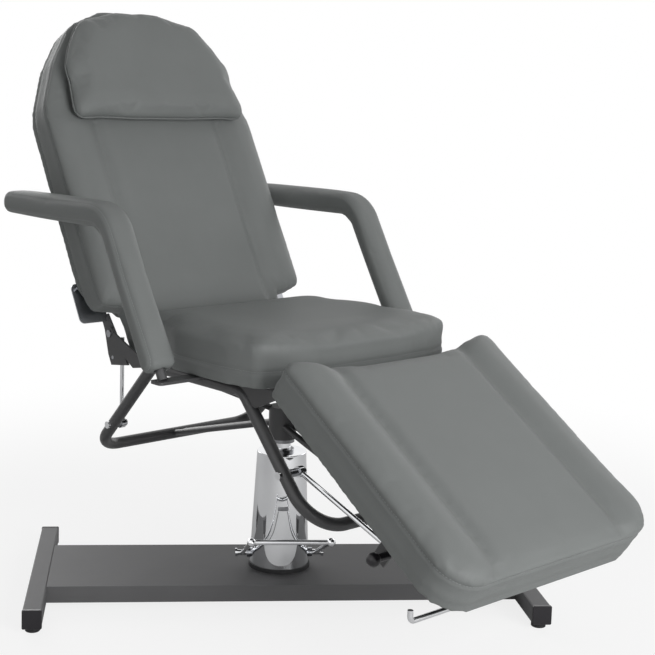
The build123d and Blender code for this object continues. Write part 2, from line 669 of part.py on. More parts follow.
rear_fall = (rail_height - REAR_FOOT_HEIGHT) / (RAIL_REAR - REAR_FOOT_AHEAD)
front_fall = (rail_height - FRONT_FOOT_HEIGHT) / (FRONT_FOOT_AHEAD - RAIL_FRONT)
back_clamp = (BACK_HINGE[0] + BACK_CLAMP_REACH, BACK_HINGE[1] - BACK_CLAMP_DROP)
back_pivot = (back_clamp[0], rail_height - (RAIL_REAR - back_clamp[0]) * rear_fall)
leg_pivot = (LEG_PIVOT_AHEAD, rail_height - (LEG_PIVOT_AHEAD - RAIL_FRONT) * front_fall)
leg_clamp = (leg_pivot[0] + LEG_CLAMP_ALONG * cos(radians(LEG_ROD_SLOPE)),
             leg_pivot[1] - LEG_CLAMP_ALONG * sin(radians(LEG_ROD_SLOPE)))
back_play = rod_play(BACK_HINGE, back_pivot, back_clamp, 0, BACK_RECLINE)
leg_play = rod_play(LEG_HINGE, leg_pivot, leg_clamp, -LEG_DROP, LEG_SLOPE)


def wood_screw(plane, grip):
    """A pan-headed screw driven in from a plane."""
    return disc(plane, SCREW_RADIUS, 0, grip) + disc(plane, SCREW_HEAD_RADIUS, -SCREW_HEAD_HEIGHT, 0)


def seat_pieces():
    """Cushion, board, welded tabs and all screws that go up into the board."""
    shares = outline_of(SEAT_SHARES, SEAT_HALF, SEAT_REAR, SEAT_LENGTH)
    outline = [(x, -ahead, r) for x, ahead, r in shares]
    thick = SEAT_TOP - CROWN - SEAT_BOTTOM - BOARD_THICK
    rim = Pos(0, 0, SEAT_TOP - CROWN)
    save("seat_cushion", rim * pad(outline, cushion_levels(thick - SOFT_GAP)))
    under = SEAT_BOTTOM - RAIL_GAP
    grip = RAIL_GAP + SCREW_GRIP
    tabs, screws = [], []
    for side, ahead in [(side, ahead) for side in (-1, 1) for ahead in (-TAB_AHEAD, TAB_AHEAD)]:
        middle = at(side * (FRAME_HALF - TAB_LENGTH / 2), ahead, SEAT_BOTTOM - RAIL_GAP / 2)
        head_x = side * (FRAME_HALF - TAB_LENGTH + SCREW_HEAD_RADIUS + PLATE_GAP)
        screw = wood_screw(Plane(origin=at(head_x, ahead, under)), grip)
        tabs.append(Pos(middle) * Box(TAB_LENGTH, TAB_WIDTH, RAIL_GAP) - screw)
        screws.append(screw)
    for side in (-1, 1):
        head_x = side * (FRAME_HALF + TUBE_RADIUS + SCREW_HEAD_RADIUS + PLATE_GAP)
        screws.append(wood_screw(Plane(origin=at(head_x, arm_landing, under)), grip))
    base = board(outline, SEAT_BOTTOM, BOARD_THICK, BOARD_INSET)
    for screw in screws:
        base -= screw
    save("seat_board", base)
    save("seat_tabs", *tabs)
    save("seat_screws", *screws)
    return screws[-2:]


def arm_pieces(screws):
    """Arm pads, the bars inside them, and the flat brackets under the seat."""
    bars, brackets = [], []
    for side, name, screw in ((-1, "right", screws[0]), (1, "left", screws[1])):
        x = side * ARM_X
        rear, knee = at(x, ARM_REAR, ARM_PAD_HEIGHT), at(x, ARM_KNEE, ARM_PAD_HEIGHT)
        foot, landing = at(x, ARM_FOOT_AHEAD, arm_foot_height), at(x, arm_landing, SEAT_BOTTOM)
        line = FilletPolyline(rear, knee, foot, radius=ARM_BEND)
        start = Plane(origin=rear, x_dir=(1, 0, 0), z_dir=line % 0)
        body = sweep(start * RectangleRounded(ARM_PAD_WIDTH, ARM_PAD_THICK, ARM_PAD_ROUND), path=line)
        for point in (rear, foot):
            body = fillet(body.faces().sort_by_distance(point)[0].edges(), ARM_END_ROUND)
        begin = at(x, ARM_REAR + CORE_START, ARM_PAD_HEIGHT)
        bore = bent_tube([begin, knee, landing], [ARM_BEND], CORE_RADIUS + SOFT_GAP)
        save("arm_pad_" + name, body - bore)
        under = Plane(origin=(0, 0, SEAT_BOTTOM)) * Rectangle(2 * OVERALL_HALF, 2 * OVERALL_HALF)
        bar = bent_tube([at(x, ARM_REAR + CORE_START + SOFT_GAP, ARM_PAD_HEIGHT), knee, landing], [ARM_BEND],
                        CORE_RADIUS)
        bars.append(bar - extrude(under, -arm_foot_height))
        reach = ARM_X + BRACKET_NOSE - (FRAME_HALF - BRACKET_TAIL)
        middle = side * (FRAME_HALF - BRACKET_TAIL + reach / 2)
        flat = Plane(origin=at(middle, arm_landing, SEAT_BOTTOM - RAIL_GAP))
        bracket = extrude(flat * RectangleRounded(reach, BRACKET_WIDTH, BRACKET_ROUND), RAIL_GAP)
        brackets.append(bracket - screw)
    save("arm_bars", *bars)
    save("arm_brackets", *brackets)


arm_run = (arm_foot_height - SEAT_BOTTOM) / (ARM_PAD_HEIGHT - arm_foot_height)
arm_landing = ARM_FOOT_AHEAD + (ARM_FOOT_AHEAD - ARM_KNEE) * arm_run


def back_hinge_pieces():
    """Uprights on the seat frame, arms on the back, pins and zinc corner plates."""
    rear = solid_frame()[0]
    hinge_a, hinge_z = BACK_HINGE
    arm_x = back_arm_x
    top = SEAT_BOTTOM - PLATE_GAP
    upright_points = [(UPRIGHT_FRONT, top), (UPRIGHT_TURN, top),
                      (hinge_a + UPRIGHT_EYE / 2, hinge_z + UPRIGHT_EYE / 2),
                      (hinge_a - UPRIGHT_EYE / 2, hinge_z - UPRIGHT_EYE / 2),
                      (UPRIGHT_TURN - UPRIGHT_FOOT, rail_height - UPRIGHT_FOOT), (UPRIGHT_FRONT, rail_height)]
    edge = [back_side(ARM_TIP, ARM_TIP_DEPTH), back_side(ARM_HEEL, ARM_HEEL_DEPTH),
            back_side(ARM_HEEL + ARM_REAR_RISE, ARM_HEEL_DEPTH), back_side(ARM_EAR, ARM_EAR_DEPTH),
            back_side(ARM_EAR_TOP, ARM_EAR_DEPTH), back_side(ARM_EAR_TOP, BACK_THICK + CORNER_PLATE_THICK),
            back_side(CORNER_PLATE_FOOT, BACK_THICK + CORNER_PLATE_THICK),
            back_side(CORNER_PLATE_FOOT, BACK_THICK), back_side(ARM_TOP, BACK_THICK),
            back_side(ARM_TOP, ARM_TOP_DEPTH)]
    uprights, arms, pins = [], [], []
    for side in (-1, 1):
        head_x = upright_x + PLATE_THICK / 2 + PLATE_GAP / 2
        pin = across_pin(side * (arm_x - PLATE_THICK / 2), side * head_x, *BACK_HINGE, HINGE_PIN_RADIUS)
        pin += across_pin(side * head_x, side * (head_x + PIN_HEAD_HEIGHT), *BACK_HINGE, PIN_HEAD_RADIUS)
        hole = across_pin(side * head_x, side * arm_x, *BACK_HINGE, HINGE_PIN_RADIUS + RUN_FIT)
        upright = eye_plate(upright_points, BACK_HINGE, UPRIGHT_EYE, side * upright_x, PLATE_THICK)
        uprights.append(largest(upright - rear - hole))
        arm = plate(edge, side * arm_x, PLATE_THICK) - pin
        if side < 0:
            arm -= across_pin(side * upright_x, back_rod_x, *back_clamp, ROD_BOLT_RADIUS)
        arms.append(arm)
        pins.append(pin)
    save("back_hinge_uprights", *uprights)
    save("back_arm_right", arms[0])
    save("back_arm_left", arms[1])
    save("back_hinge_pins", *pins)

    inner = arm_x - PLATE_THICK / 2
    width = BACK_HALF - CORNER_PLATE_INSET - inner
    corners, screws = [], []
    for side in (-1, 1):
        middle = (CORNER_PLATE_FOOT + CORNER_PLATE_HEAD) / 2
        face = Plane(origin=(side * (inner + width / 2), middle, -BACK_THICK - CORNER_PLATE_THICK))
        height = CORNER_PLATE_HEAD - CORNER_PLATE_FOOT
        corner = extrude(face * RectangleRounded(width, height, CORNER_PLATE_ROUND), CORNER_PLATE_THICK)
        corner = BACK * corner
        for reach in (CORNER_PLATE_ROUND, width - CORNER_PLATE_ROUND):
            spot = (side * (inner + reach), CORNER_PLATE_HEAD - CORNER_PLATE_ROUND,
                    -BACK_THICK - CORNER_PLATE_THICK)
            screw = BACK * wood_screw(Plane(origin=spot), CORNER_PLATE_THICK + SCREW_GRIP)
            corner -= screw
            screws.append(screw)
        corners.append(corner)
    save("back_corner_plates", *corners)
    save("back_screws", *screws)
    return screws


def back_pieces(screws):
    """Board, cushion with two sewn channels, and the head pillow."""
    outline = outline_of(BACK_SHARES, BACK_HALF, BACK_START, BACK_LENGTH)
    cushion = pad(outline, cushion_levels(BACK_THICK - BACK_BOARD - SOFT_GAP))
    base = board(outline, -BACK_THICK, BACK_BOARD, BOARD_INSET)
    notch_width = BACK_HALF - notch_half
    for side in (-1, 1):
        cushion -= groove(side * CHANNEL_HALF, 0, BACK_START + BACK_LENGTH)
        spot = Plane(origin=(side * (notch_half + notch_width / 2), NOTCH_TOP / 2, -BACK_THICK))
        base -= extrude(spot * Rectangle(notch_width, NOTCH_TOP), BACK_BOARD)
    base = BACK * base
    for screw in screws:
        base -= screw
    save("back_cushion", BACK * cushion)
    save("back_board", base)
    sides = [(CROWN + SOFT_GAP + rise * PILLOW_THICK, inset * PILLOW_THICK)
             for rise, inset in PILLOW_SIDE_SHARES]
    pillow = pad(outline_of(PILLOW_SHARES, PILLOW_HALF, PILLOW_START, PILLOW_LENGTH), sides)
    save("head_pillow", BACK * pillow)


def star_knob(plane):
    """A lobed hand knob standing on a plane."""
    reach = KNOB_RADIUS - KNOB_LOBE_RADIUS
    body = disc(plane, reach, 0, KNOB_LENGTH)
    for i in range(KNOB_LOBES):
        angle = 2 * pi * i / KNOB_LOBES
        centre = Pos(reach * cos(angle), reach * sin(angle))
        lobe = plane.offset(KNOB_EDGE) * centre * Circle(KNOB_LOBE_RADIUS)
        body += extrude(lobe, KNOB_LENGTH - 2 * KNOB_EDGE)
    return body


def pivot_bolt(pivot, rod_x):
    """A bolt through a hoop leg that carries the eye of a rod on its inner end."""
    outer = -FRAME_HALF - TUBE_RADIUS
    inner = rod_x + ROD_EYE_HALF + PLATE_GAP / 2
    bolt = across_pin(outer, inner, *pivot, ROD_BOLT_RADIUS)
    bolt += across_pin(outer - ROD_BOLT_HEAD_HEIGHT, outer, *pivot, ROD_BOLT_HEAD)
    return bolt + across_pin(inner, inner + ROD_BOLT_HEAD_HEIGHT, *pivot, ROD_BOLT_HEAD)


def spacer(pivot, rod_x, hoop):
    """A sleeve on a pivot bolt between the hoop leg and the rod's eye."""
    end = rod_x - ROD_EYE_HALF - PLATE_GAP / 2
    sleeve = across_pin(-FRAME_HALF, end, *pivot, ROD_BOLT_HEAD) - hoop
    return sleeve - across_pin(-FRAME_HALF, end, *pivot, ROD_BOLT_RADIUS)


def back_rod_pieces():
    """The back's rod, the pivot bolts of both rods, and the slotted clamp with its knob."""
    low, high, far = back_play[1], back_play[2], back_play[4]
    top = back_pivot[1] + far + CLAMP_HALF_LENGTH - ROD_SHORT
    shaft = rod(at(back_rod_x, *back_pivot), at(back_rod_x, back_pivot[0], top), BACK_ROD_RADIUS)
    eye = across_pin(back_rod_x - ROD_EYE_HALF, back_rod_x + ROD_EYE_HALF, *back_pivot, ROD_EYE_RADIUS)
    bore = across_pin(-FRAME_HALF, 0, *back_pivot, ROD_BOLT_RADIUS + RUN_FIT)
    save("back_rod", (shaft + eye) - bore)
    rear_hoop, front_hoop, rails = solid_frame()
    save("rod_pivot_bolts", pivot_bolt(back_pivot, back_rod_x), pivot_bolt(leg_pivot, leg_rod_x))
    save("rod_spacers", spacer(back_pivot, back_rod_x, rear_hoop), spacer(leg_pivot, leg_rod_x, front_hoop))

    # The rod strays ahead of the clamp's middle by the high play and behind it by the low play.
    ahead = BACK_ROD_RADIUS + high + SLOT_ROOM
    behind = BACK_ROD_RADIUS - low + SLOT_ROOM
    block = Box(2 * CLAMP_HALF_WIDTH, ahead + behind + 2 * CLAMP_RIM, 2 * CLAMP_HALF_LENGTH)
    block -= Box(2 * (BACK_ROD_RADIUS + SLOT_ROOM), ahead + behind, 2 * CLAMP_HALF_LENGTH)
    block = Pos(at(back_rod_x, back_clamp[0] + (ahead - behind) / 2, back_clamp[1])) * block
    block_x = back_rod_x - CLAMP_HALF_WIDTH
    root_x = -back_arm_x - PLATE_THICK / 2
    stud = across_pin(root_x, block_x - CLAMP_RIM - SOFT_GAP, *back_clamp, ROD_BOLT_RADIUS)
    save("back_clamp_stud", stud)
    sleeve_x = PLATE_THICK / 2 + PLATE_GAP / 2 - back_arm_x
    sleeve = across_pin(sleeve_x, block_x, *back_clamp, ROD_BOLT_HEAD)
    sleeve -= across_pin(sleeve_x, block_x - CLAMP_RIM, *back_clamp, ROD_BOLT_RADIUS + RUN_FIT)
    save("back_clamp", block + sleeve)
    face_x = back_rod_x + CLAMP_HALF_WIDTH
    plane = Plane(origin=at(face_x + KNOB_STEM, *back_clamp), x_dir=(0, 1, 0), z_dir=(1, 0, 0))
    save("back_knob", star_knob(plane) + disc(plane, ROD_BOLT_RADIUS, PLATE_GAP / 2 - KNOB_STEM, 0))


def leg_pieces():
    """Board, cushion with two sewn channels, steel rails, hinge ears, pins and frame brackets."""
    outline = outline_of(LEG_SHARES, LEG_HALF, 0, LEG_LENGTH)
    cushion = pad(outline, cushion_levels(LEG_THICK - LEG_BOARD - SOFT_GAP))
    base = board(outline, -LEG_THICK, LEG_BOARD, BOARD_INSET)
    screws = []
    for side in (-1, 1):
        cushion -= groove(side * CHANNEL_HALF, 0, LEG_LENGTH)
        for along in (LEG_ARM_TAIL, LEG_RAIL_END - LEG_RAIL_SIDE):
            spot = Plane(origin=(side * leg_rail_x, along, -LEG_THICK - LEG_RAIL_SIDE))
            screws.append(wood_screw(spot, LEG_RAIL_SIDE + SCREW_GRIP))
    for screw in screws:
        base -= screw
    save("leg_cushion", LEG * cushion)
    save("leg_board", LEG * base)
    save("leg_screws", *[LEG * screw for screw in screws])

    rail_low = LEG_THICK + LEG_RAIL_SIDE
    length = LEG_RAIL_END - LEG_ARM_HEAD
    block = LEG * board(outline, -LEG_THICK, LEG_THICK, 0)
    hoop = solid_frame()[1]
    hinge_a, hinge_z = LEG_HINGE
    rails, ears, pins, brackets = [], [], [], []
    for side in (-1, 1):
        bar = Pos(side * leg_rail_x, LEG_ARM_HEAD + length / 2, -LEG_THICK - LEG_RAIL_SIDE / 2) * Box(
            LEG_RAIL_SIDE, length, LEG_RAIL_SIDE)
        for screw in screws:
            bar -= screw
        rails.append(LEG * bar)
        ear_x = side * (leg_rail_x + LEG_RAIL_SIDE / 2 + PLATE_THICK / 2)
        plate_x = ear_x + side * (PLATE_THICK + PLATE_GAP)
        head_x = plate_x + side * (PLATE_THICK / 2 + PLATE_GAP / 2)
        pin = across_pin(ear_x - side * PLATE_THICK / 2, head_x, *LEG_HINGE, HINGE_PIN_RADIUS)
        pin += across_pin(head_x, head_x + side * PIN_HEAD_HEIGHT, *LEG_HINGE, PIN_HEAD_RADIUS)
        hole = across_pin(ear_x, head_x, *LEG_HINGE, HINGE_PIN_RADIUS + RUN_FIT)
        corners = [leg_side(0, LEG_THICK), leg_side(LEG_ARM_TAIL, LEG_THICK),
                   leg_side(LEG_ARM_TAIL, rail_low), leg_side(LEG_ARM_HEAD, rail_low),
                   (hinge_a, hinge_z - LEG_EYE)]
        ear = eye_plate(corners, LEG_HINGE, LEG_EYE, ear_x, PLATE_THICK)
        ears.append(largest(ear - block - pin))
        top = SEAT_BOTTOM - PLATE_GAP
        points = [(RAIL_FRONT - RAIL_BEND / 2, rail_height), (RAIL_FRONT - RAIL_BEND / 2, top),
                  (hinge_a - 2 * LEG_EYE, top), (hinge_a, hinge_z + LEG_EYE), (hinge_a, hinge_z - LEG_EYE),
                  (RAIL_FRONT + RAIL_BEND, rail_height - LEG_BRACKET_DROP)]
        bracket = eye_plate(points, LEG_HINGE, LEG_EYE, plate_x, PLATE_THICK)
        brackets.append(largest(bracket - hoop - hole))
        pins.append(pin)
    save("leg_rails", *rails)
    save("leg_hinge_ears", *ears)
    save("leg_hinge_pins", *pins)
    save("leg_hinge_brackets", *brackets)


def leg_rod_pieces():
    """The leg rest's rod with its bent end, its slotted bracket and the ball knob."""
    low, high = leg_play[1], leg_play[2]
    tilt = radians(LEG_ROD_SLOPE)
    start = at(leg_rod_x, *leg_pivot)
    end = start + Vector(0, -cos(tilt), -sin(tilt)) * LEG_ROD_LENGTH
    out = end + Vector(-LEG_ROD_OUT, 0, 0)
    tip = out + Vector(0, 0, LEG_ROD_TIP)
    bar = bent_tube([start, end, out, tip], [LEG_ROD_BEND, LEG_TIP_BEND], LEG_ROD_RADIUS)
    eye = across_pin(leg_rod_x - ROD_EYE_HALF, leg_rod_x + ROD_EYE_HALF, *leg_pivot, ROD_EYE_RADIUS)
    bore = across_pin(-FRAME_HALF, 0, *leg_pivot, ROD_BOLT_RADIUS + RUN_FIT)
    save("leg_rod", (bar + eye) - bore)

    # The rod strays towards the board by the low play and away from it by the high play.
    place = LEG.to_local_coords(at(leg_rod_x, *leg_clamp))
    skew = LEG_BRACKET_THICK * tan(slope - tilt)
    above = LEG_ROD_RADIUS / cos(slope - tilt) - low + SLOT_ROOM + skew
    below = LEG_ROD_RADIUS / cos(slope - tilt) + high + SLOT_ROOM + skew
    outer = leg_rail_x - LEG_RAIL_SIDE / 2
    foot = place.Z - below - LEG_BRACKET_TAIL
    web = cut_block(place.X - LEG_BRACKET_REACH, outer, place.Y - LEG_BRACKET_THICK / 2,
                    place.Y + LEG_BRACKET_THICK / 2, foot, -LEG_THICK)
    half = LEG_ROD_RADIUS + SLOT_ROOM
    web -= cut_block(place.X - half, place.X + half, place.Y - LEG_BRACKET_THICK,
                     place.Y + LEG_BRACKET_THICK, place.Z - below, place.Z + above)
    flange = cut_block(outer - LEG_BRACKET_THICK, outer, place.Y - LEG_BRACKET_HALF,
                       place.Y + LEG_BRACKET_HALF, foot, -LEG_THICK - LEG_RAIL_SIDE)
    spot = leg_side(place.Y + (LEG_BRACKET_HALF + LEG_BRACKET_THICK) / 2, -place.Z)
    hole = across_pin(-outer - PLATE_THICK, leg_rod_x, *spot, LEG_STUD_RADIUS + RUN_FIT)
    save("leg_bracket", LEG * (web + flange) - hole)
    collar_x = leg_ball_x + LEG_STUD_RADIUS
    knob = across_pin(collar_x, leg_rod_x - LEG_ROD_RADIUS - SLOT_ROOM, *spot, LEG_STUD_RADIUS)
    knob += across_pin(collar_x, -outer - RUN_FIT, *spot, LEG_STUD_COLLAR)
    knob += Pos(leg_ball_x, -spot[0], spot[1]) * Rot(0, 90, 0) * Sphere(LEG_BALL_RADIUS)
    save("leg_knob", knob)
    return spot


def cut_block(x_low, x_high, y_low, y_high, z_low, z_high):
    """A block between two corners."""
    size = (x_high - x_low, y_high - y_low, z_high - z_low)
    return Pos((x_low + x_high) / 2, (y_low + y_high) / 2, (z_low + z_high) / 2) * Box(*size)


base_pieces()
pump_pieces()
pedal_pieces()
ram_pieces()
frame_pieces()
arm_pieces(seat_pieces())
back_pieces(back_hinge_pieces())
back_rod_pieces()
leg_pieces()
knob_spot = leg_rod_pieces()
print("back rod: ratio %.3f, strays %.2f to %.2f, reach %.1f to %.1f" % back_play)
print("leg rod: ratio %.3f, strays %.2f to %.2f, reach %.1f to %.1f" % leg_play)
print("pivots", back_pivot, back_clamp, leg_pivot, leg_clamp, knob_spot)
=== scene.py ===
# %% [markdown]
# # A treatment chair, dressed in Blender
# The chair stands on a low beam base with a chromed hydraulic pump. A tube frame turns on the pump and
# carries a padded seat, a reclining back with a head pillow, a leg rest and two arm pads. The hard pieces
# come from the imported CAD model. This lesson covers the pads, the seams, the trim of the pump cover, the
# finishes, the light and the camera. Everything is in metres: +Z is up and -Y is ahead of the chair.

# %% Load the frame
import bpy
import bmesh
import json
import math
from mathutils import Matrix, Vector
from mathutils.bvhtree import BVHTree


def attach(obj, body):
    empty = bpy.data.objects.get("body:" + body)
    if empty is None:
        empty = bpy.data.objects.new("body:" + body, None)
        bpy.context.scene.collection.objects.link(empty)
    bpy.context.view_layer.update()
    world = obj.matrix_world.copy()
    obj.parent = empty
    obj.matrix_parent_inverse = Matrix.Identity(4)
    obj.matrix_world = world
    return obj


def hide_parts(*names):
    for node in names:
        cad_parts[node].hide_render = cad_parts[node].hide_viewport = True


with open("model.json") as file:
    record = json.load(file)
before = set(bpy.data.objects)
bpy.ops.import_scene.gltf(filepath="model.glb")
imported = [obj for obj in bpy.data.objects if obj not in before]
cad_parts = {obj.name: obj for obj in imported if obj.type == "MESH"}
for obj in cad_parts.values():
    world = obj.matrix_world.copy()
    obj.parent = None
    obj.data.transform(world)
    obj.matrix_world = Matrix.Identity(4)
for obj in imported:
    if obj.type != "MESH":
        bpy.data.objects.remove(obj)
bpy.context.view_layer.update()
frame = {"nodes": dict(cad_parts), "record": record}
nodes = frame["nodes"]

# %% [markdown]
# ## Camera
# The photograph was taken from the chair's front right at about standing chest height with a longish lens,
# so the chair hardly tapers. The place and lens were solved from points and edges of the chair. The chair
# stands a little right of the lens axis, and a small sideways shift of the lens moves it a little left of
# the picture's middle. A small downward shift keeps its upright lines nearly upright.

# %% Place the camera
camera_place = Vector((-1.930, -2.108, 1.068))
camera_heading = Vector((0.6559, 0.7548))
camera_dip = math.radians(6.93)
camera_roll = math.radians(1.41)

lens = bpy.data.cameras.new("camera")
camera = bpy.data.objects.new("camera", lens)
bpy.context.scene.collection.objects.link(camera)
lens.lens = 74.5
lens.sensor_width = 36.0
lens.shift_x = 0.1
lens.shift_y = -0.1
lens.clip_end = 60.0
level = camera_heading.normalized() * math.cos(camera_dip)
aim = Vector((level.x, level.y, -math.sin(camera_dip)))
camera.rotation_mode = "QUATERNION"
turned = Matrix.Rotation(camera_roll, 3, "Z").to_quaternion()
camera.rotation_quaternion = aim.to_track_quat("-Z", "Y") @ turned
camera.location = camera_place
bpy.context.scene.camera = camera
bpy.context.scene.view_settings.view_transform = "Standard"
print("camera at", tuple(round(v, 3) for v in camera_place))

# %% [markdown]
# ## Studio
# A product picture has even, soft light and a white ground. The main lamp stands low in front, to light the
# faces that look ahead. The flat tops of the seat and the base still come out a little brighter than the
# fronts below them, and the leg rest's low end, which is dark in the photograph, is lit too. Large area
# lamps give broad highlights on the leather.

# %% Hang the lamps
def soft_lamp(name, place, target, size, power):
    """A large square lamp that faces a point."""
    data = bpy.data.lights.new(name, "AREA")
    data.shape = "SQUARE"
    data.size = size
    data.energy = power
    lamp = bpy.data.objects.new(name, data)
    bpy.context.scene.collection.objects.link(lamp)
    lamp.location = place
    lamp.rotation_mode = "QUATERNION"
    lamp.rotation_quaternion = (Vector(target) - Vector(place)).to_track_quat("-Z", "Y")
    return lamp


seat_middle = (0.0, 0.0, 0.6)
soft_lamp("lamp_front", (-0.4, -3.4, 1.3), seat_middle, 2.0, 90)
soft_lamp("lamp_camera_side", (-3.4, -0.8, 1.5), seat_middle, 2.4, 10)
soft_lamp("lamp_top", (0.3, 1.2, 3.4), seat_middle, 2.4, 5)
soft_lamp("lamp_far_side", (3.2, 0.6, 1.8), seat_middle, 2.0, 18)
soft_lamp("lamp_rear", (0.4, 3.4, 1.7), seat_middle, 2.4, 40)
print("lamps:", len(bpy.data.lights))

# %% [markdown]
# The world is white only to camera, glossy and clear rays, so the background is white and the chrome has
# something white to mirror, while the light that falls on the chair stays at a plain level.

# %% Fill the air
world = bpy.data.worlds.new("studio_air")
bpy.context.scene.world = world
world.use_nodes = True
air = world.node_tree
air.nodes.clear()
path = air.nodes.new("ShaderNodeLightPath")
seen = air.nodes.new("ShaderNodeMath")
seen.operation = "MAXIMUM"
seen_more = air.nodes.new("ShaderNodeMath")
seen_more.operation = "MAXIMUM"
lit = air.nodes.new("ShaderNodeBackground")
lit.inputs["Color"].default_value = (0.80, 0.80, 0.80, 1)
lit.inputs["Strength"].default_value = 0.25
white = air.nodes.new("ShaderNodeBackground")
white.inputs["Color"].default_value = (1, 1, 1, 1)
white.inputs["Strength"].default_value = 1.0
mix = air.nodes.new("ShaderNodeMixShader")
out = air.nodes.new("ShaderNodeOutputWorld")
air.links.new(path.outputs["Is Camera Ray"], seen.inputs[0])
air.links.new(path.outputs["Is Glossy Ray"], seen.inputs[1])
air.links.new(seen.outputs[0], seen_more.inputs[0])
air.links.new(path.outputs["Is Transmission Ray"], seen_more.inputs[1])
air.links.new(seen_more.outputs[0], mix.inputs[0])
air.links.new(lit.outputs[0], mix.inputs[1])
air.links.new(white.outputs[0], mix.inputs[2])
air.links.new(mix.outputs[0], out.inputs["Surface"])
print("world:", world.name)

# %% [markdown]
# The floor is a pale sheet. What the camera sees of it is mostly a glow, and all glow far from the chair,
# so it runs into the white background. Near the chair enough of the paper is left for a faint soft shadow.

# %% Lay the floor
bpy.ops.object.select_all(action="DESELECT")
bpy.ops.mesh.primitive_plane_add(size=24, location=(0, 0, 0))
floor = bpy.context.object
floor.name = "studio_floor"
floor_finish = bpy.data.materials.new("studio_floor")
floor_finish.use_nodes = True
tree = floor_finish.node_tree
tree.nodes.clear()
paper = tree.nodes.new("ShaderNodeBsdfDiffuse")
paper.inputs["Color"].default_value = (0.86, 0.86, 0.86, 1)
glow = tree.nodes.new("ShaderNodeEmission")
glow.inputs["Strength"].default_value = 1.0
floor_path = tree.nodes.new("ShaderNodeLightPath")
floor_coords = tree.nodes.new("ShaderNodeTexCoord")
floor_reach = tree.nodes.new("ShaderNodeVectorMath")
floor_reach.operation = "LENGTH"
fade = tree.nodes.new("ShaderNodeMapRange")
fade.interpolation_type = "SMOOTHSTEP"
fade.inputs["From Min"].default_value = 0.9
fade.inputs["From Max"].default_value = 2.3
fade.inputs["To Min"].default_value = 0.82
fade.inputs["To Max"].default_value = 1.0
tree.links.new(floor_coords.outputs["Object"], floor_reach.inputs[0])
tree.links.new(floor_reach.outputs["Value"], fade.inputs["Value"])
glow_share = tree.nodes.new("ShaderNodeMath")
glow_share.operation = "MULTIPLY"
tree.links.new(fade.outputs["Result"], glow_share.inputs[1])
floor_mix = tree.nodes.new("ShaderNodeMixShader")
floor_out = tree.nodes.new("ShaderNodeOutputMaterial")
tree.links.new(floor_path.outputs["Is Camera Ray"], glow_share.inputs[0])
tree.links.new(glow_share.outputs[0], floor_mix.inputs[0])
tree.links.new(paper.outputs[0], floor_mix.inputs[1])
tree.links.new(glow.outputs[0], floor_mix.inputs[2])
tree.links.new(floor_mix.outputs[0], floor_out.inputs["Surface"])
floor.data.materials.append(floor_finish)
print("floor:", floor.name)

# %% [markdown]
# ## Shared finish helpers
# Several finishes need the same things: a slow drift of tone over a surface and a fine relief. Each is a
# node group with named inputs, made once and placed in each material with its own values. They read the
# piece's own Object coordinates, so the pattern stays on the piece when it moves.

# %% Node group: tone drift
def add_socket(group, name, kind, in_out, value=None):
    """A named socket on a node group."""
    socket = group.interface.new_socket(name=name, in_out=in_out, socket_type=kind)
    if value is not None:
        socket.default_value = value
    return socket


def make_tone_drift():
    """Colour that drifts a little, and the noise it follows as a mask."""
    group = bpy.data.node_groups.new("tone_drift", "ShaderNodeTree")
    add_socket(group, "Color", "NodeSocketColor", "INPUT", (0.5, 0.5, 0.5, 1))
    add_socket(group, "Amount", "NodeSocketFloat", "INPUT", 0.1)
    add_socket(group, "Size", "NodeSocketFloat", "INPUT", 6.0)
    add_socket(group, "Color", "NodeSocketColor", "OUTPUT")
    add_socket(group, "Mask", "NodeSocketFloat", "OUTPUT")
    n, l = group.nodes, group.links
    gin, gout = n.new("NodeGroupInput"), n.new("NodeGroupOutput")
    coords = n.new("ShaderNodeTexCoord")
    cloud = n.new("ShaderNodeTexNoise")
    cloud.inputs["Detail"].default_value = 5.0
    cloud.inputs["Roughness"].default_value = 0.6
    l.new(coords.outputs["Object"], cloud.inputs["Vector"])
    l.new(gin.outputs["Size"], cloud.inputs["Scale"])
    dark = n.new("ShaderNodeMix")
    dark.data_type = "RGBA"
    dark.blend_type = "MULTIPLY"
    dark.inputs["Factor"].default_value = 1.0
    span = n.new("ShaderNodeMapRange")
    span.inputs["From Min"].default_value = 0.3
    span.inputs["From Max"].default_value = 0.7
    l.new(cloud.outputs["Fac"], span.inputs["Value"])
    low = n.new("ShaderNodeMath")
    low.operation = "SUBTRACT"
    low.inputs[0].default_value = 1.0
    l.new(gin.outputs["Amount"], low.inputs[1])
    high = n.new("ShaderNodeMath")
    high.operation = "ADD"
    high.inputs[0].default_value = 1.0
    l.new(gin.outputs["Amount"], high.inputs[1])
    l.new(low.outputs[0], span.inputs["To Min"])
    l.new(high.outputs[0], span.inputs["To Max"])
    grey = n.new("ShaderNodeCombineColor")
    for channel in ("Red", "Green", "Blue"):
        l.new(span.outputs["Result"], grey.inputs[channel])
    l.new(gin.outputs["Color"], dark.inputs[6])
    l.new(grey.outputs["Color"], dark.inputs[7])
    l.new(dark.outputs[2], gout.inputs["Color"])
    l.new(cloud.outputs["Fac"], gout.inputs["Mask"])
    return group


tone_drift = make_tone_drift()
print("node group:", tone_drift.name)

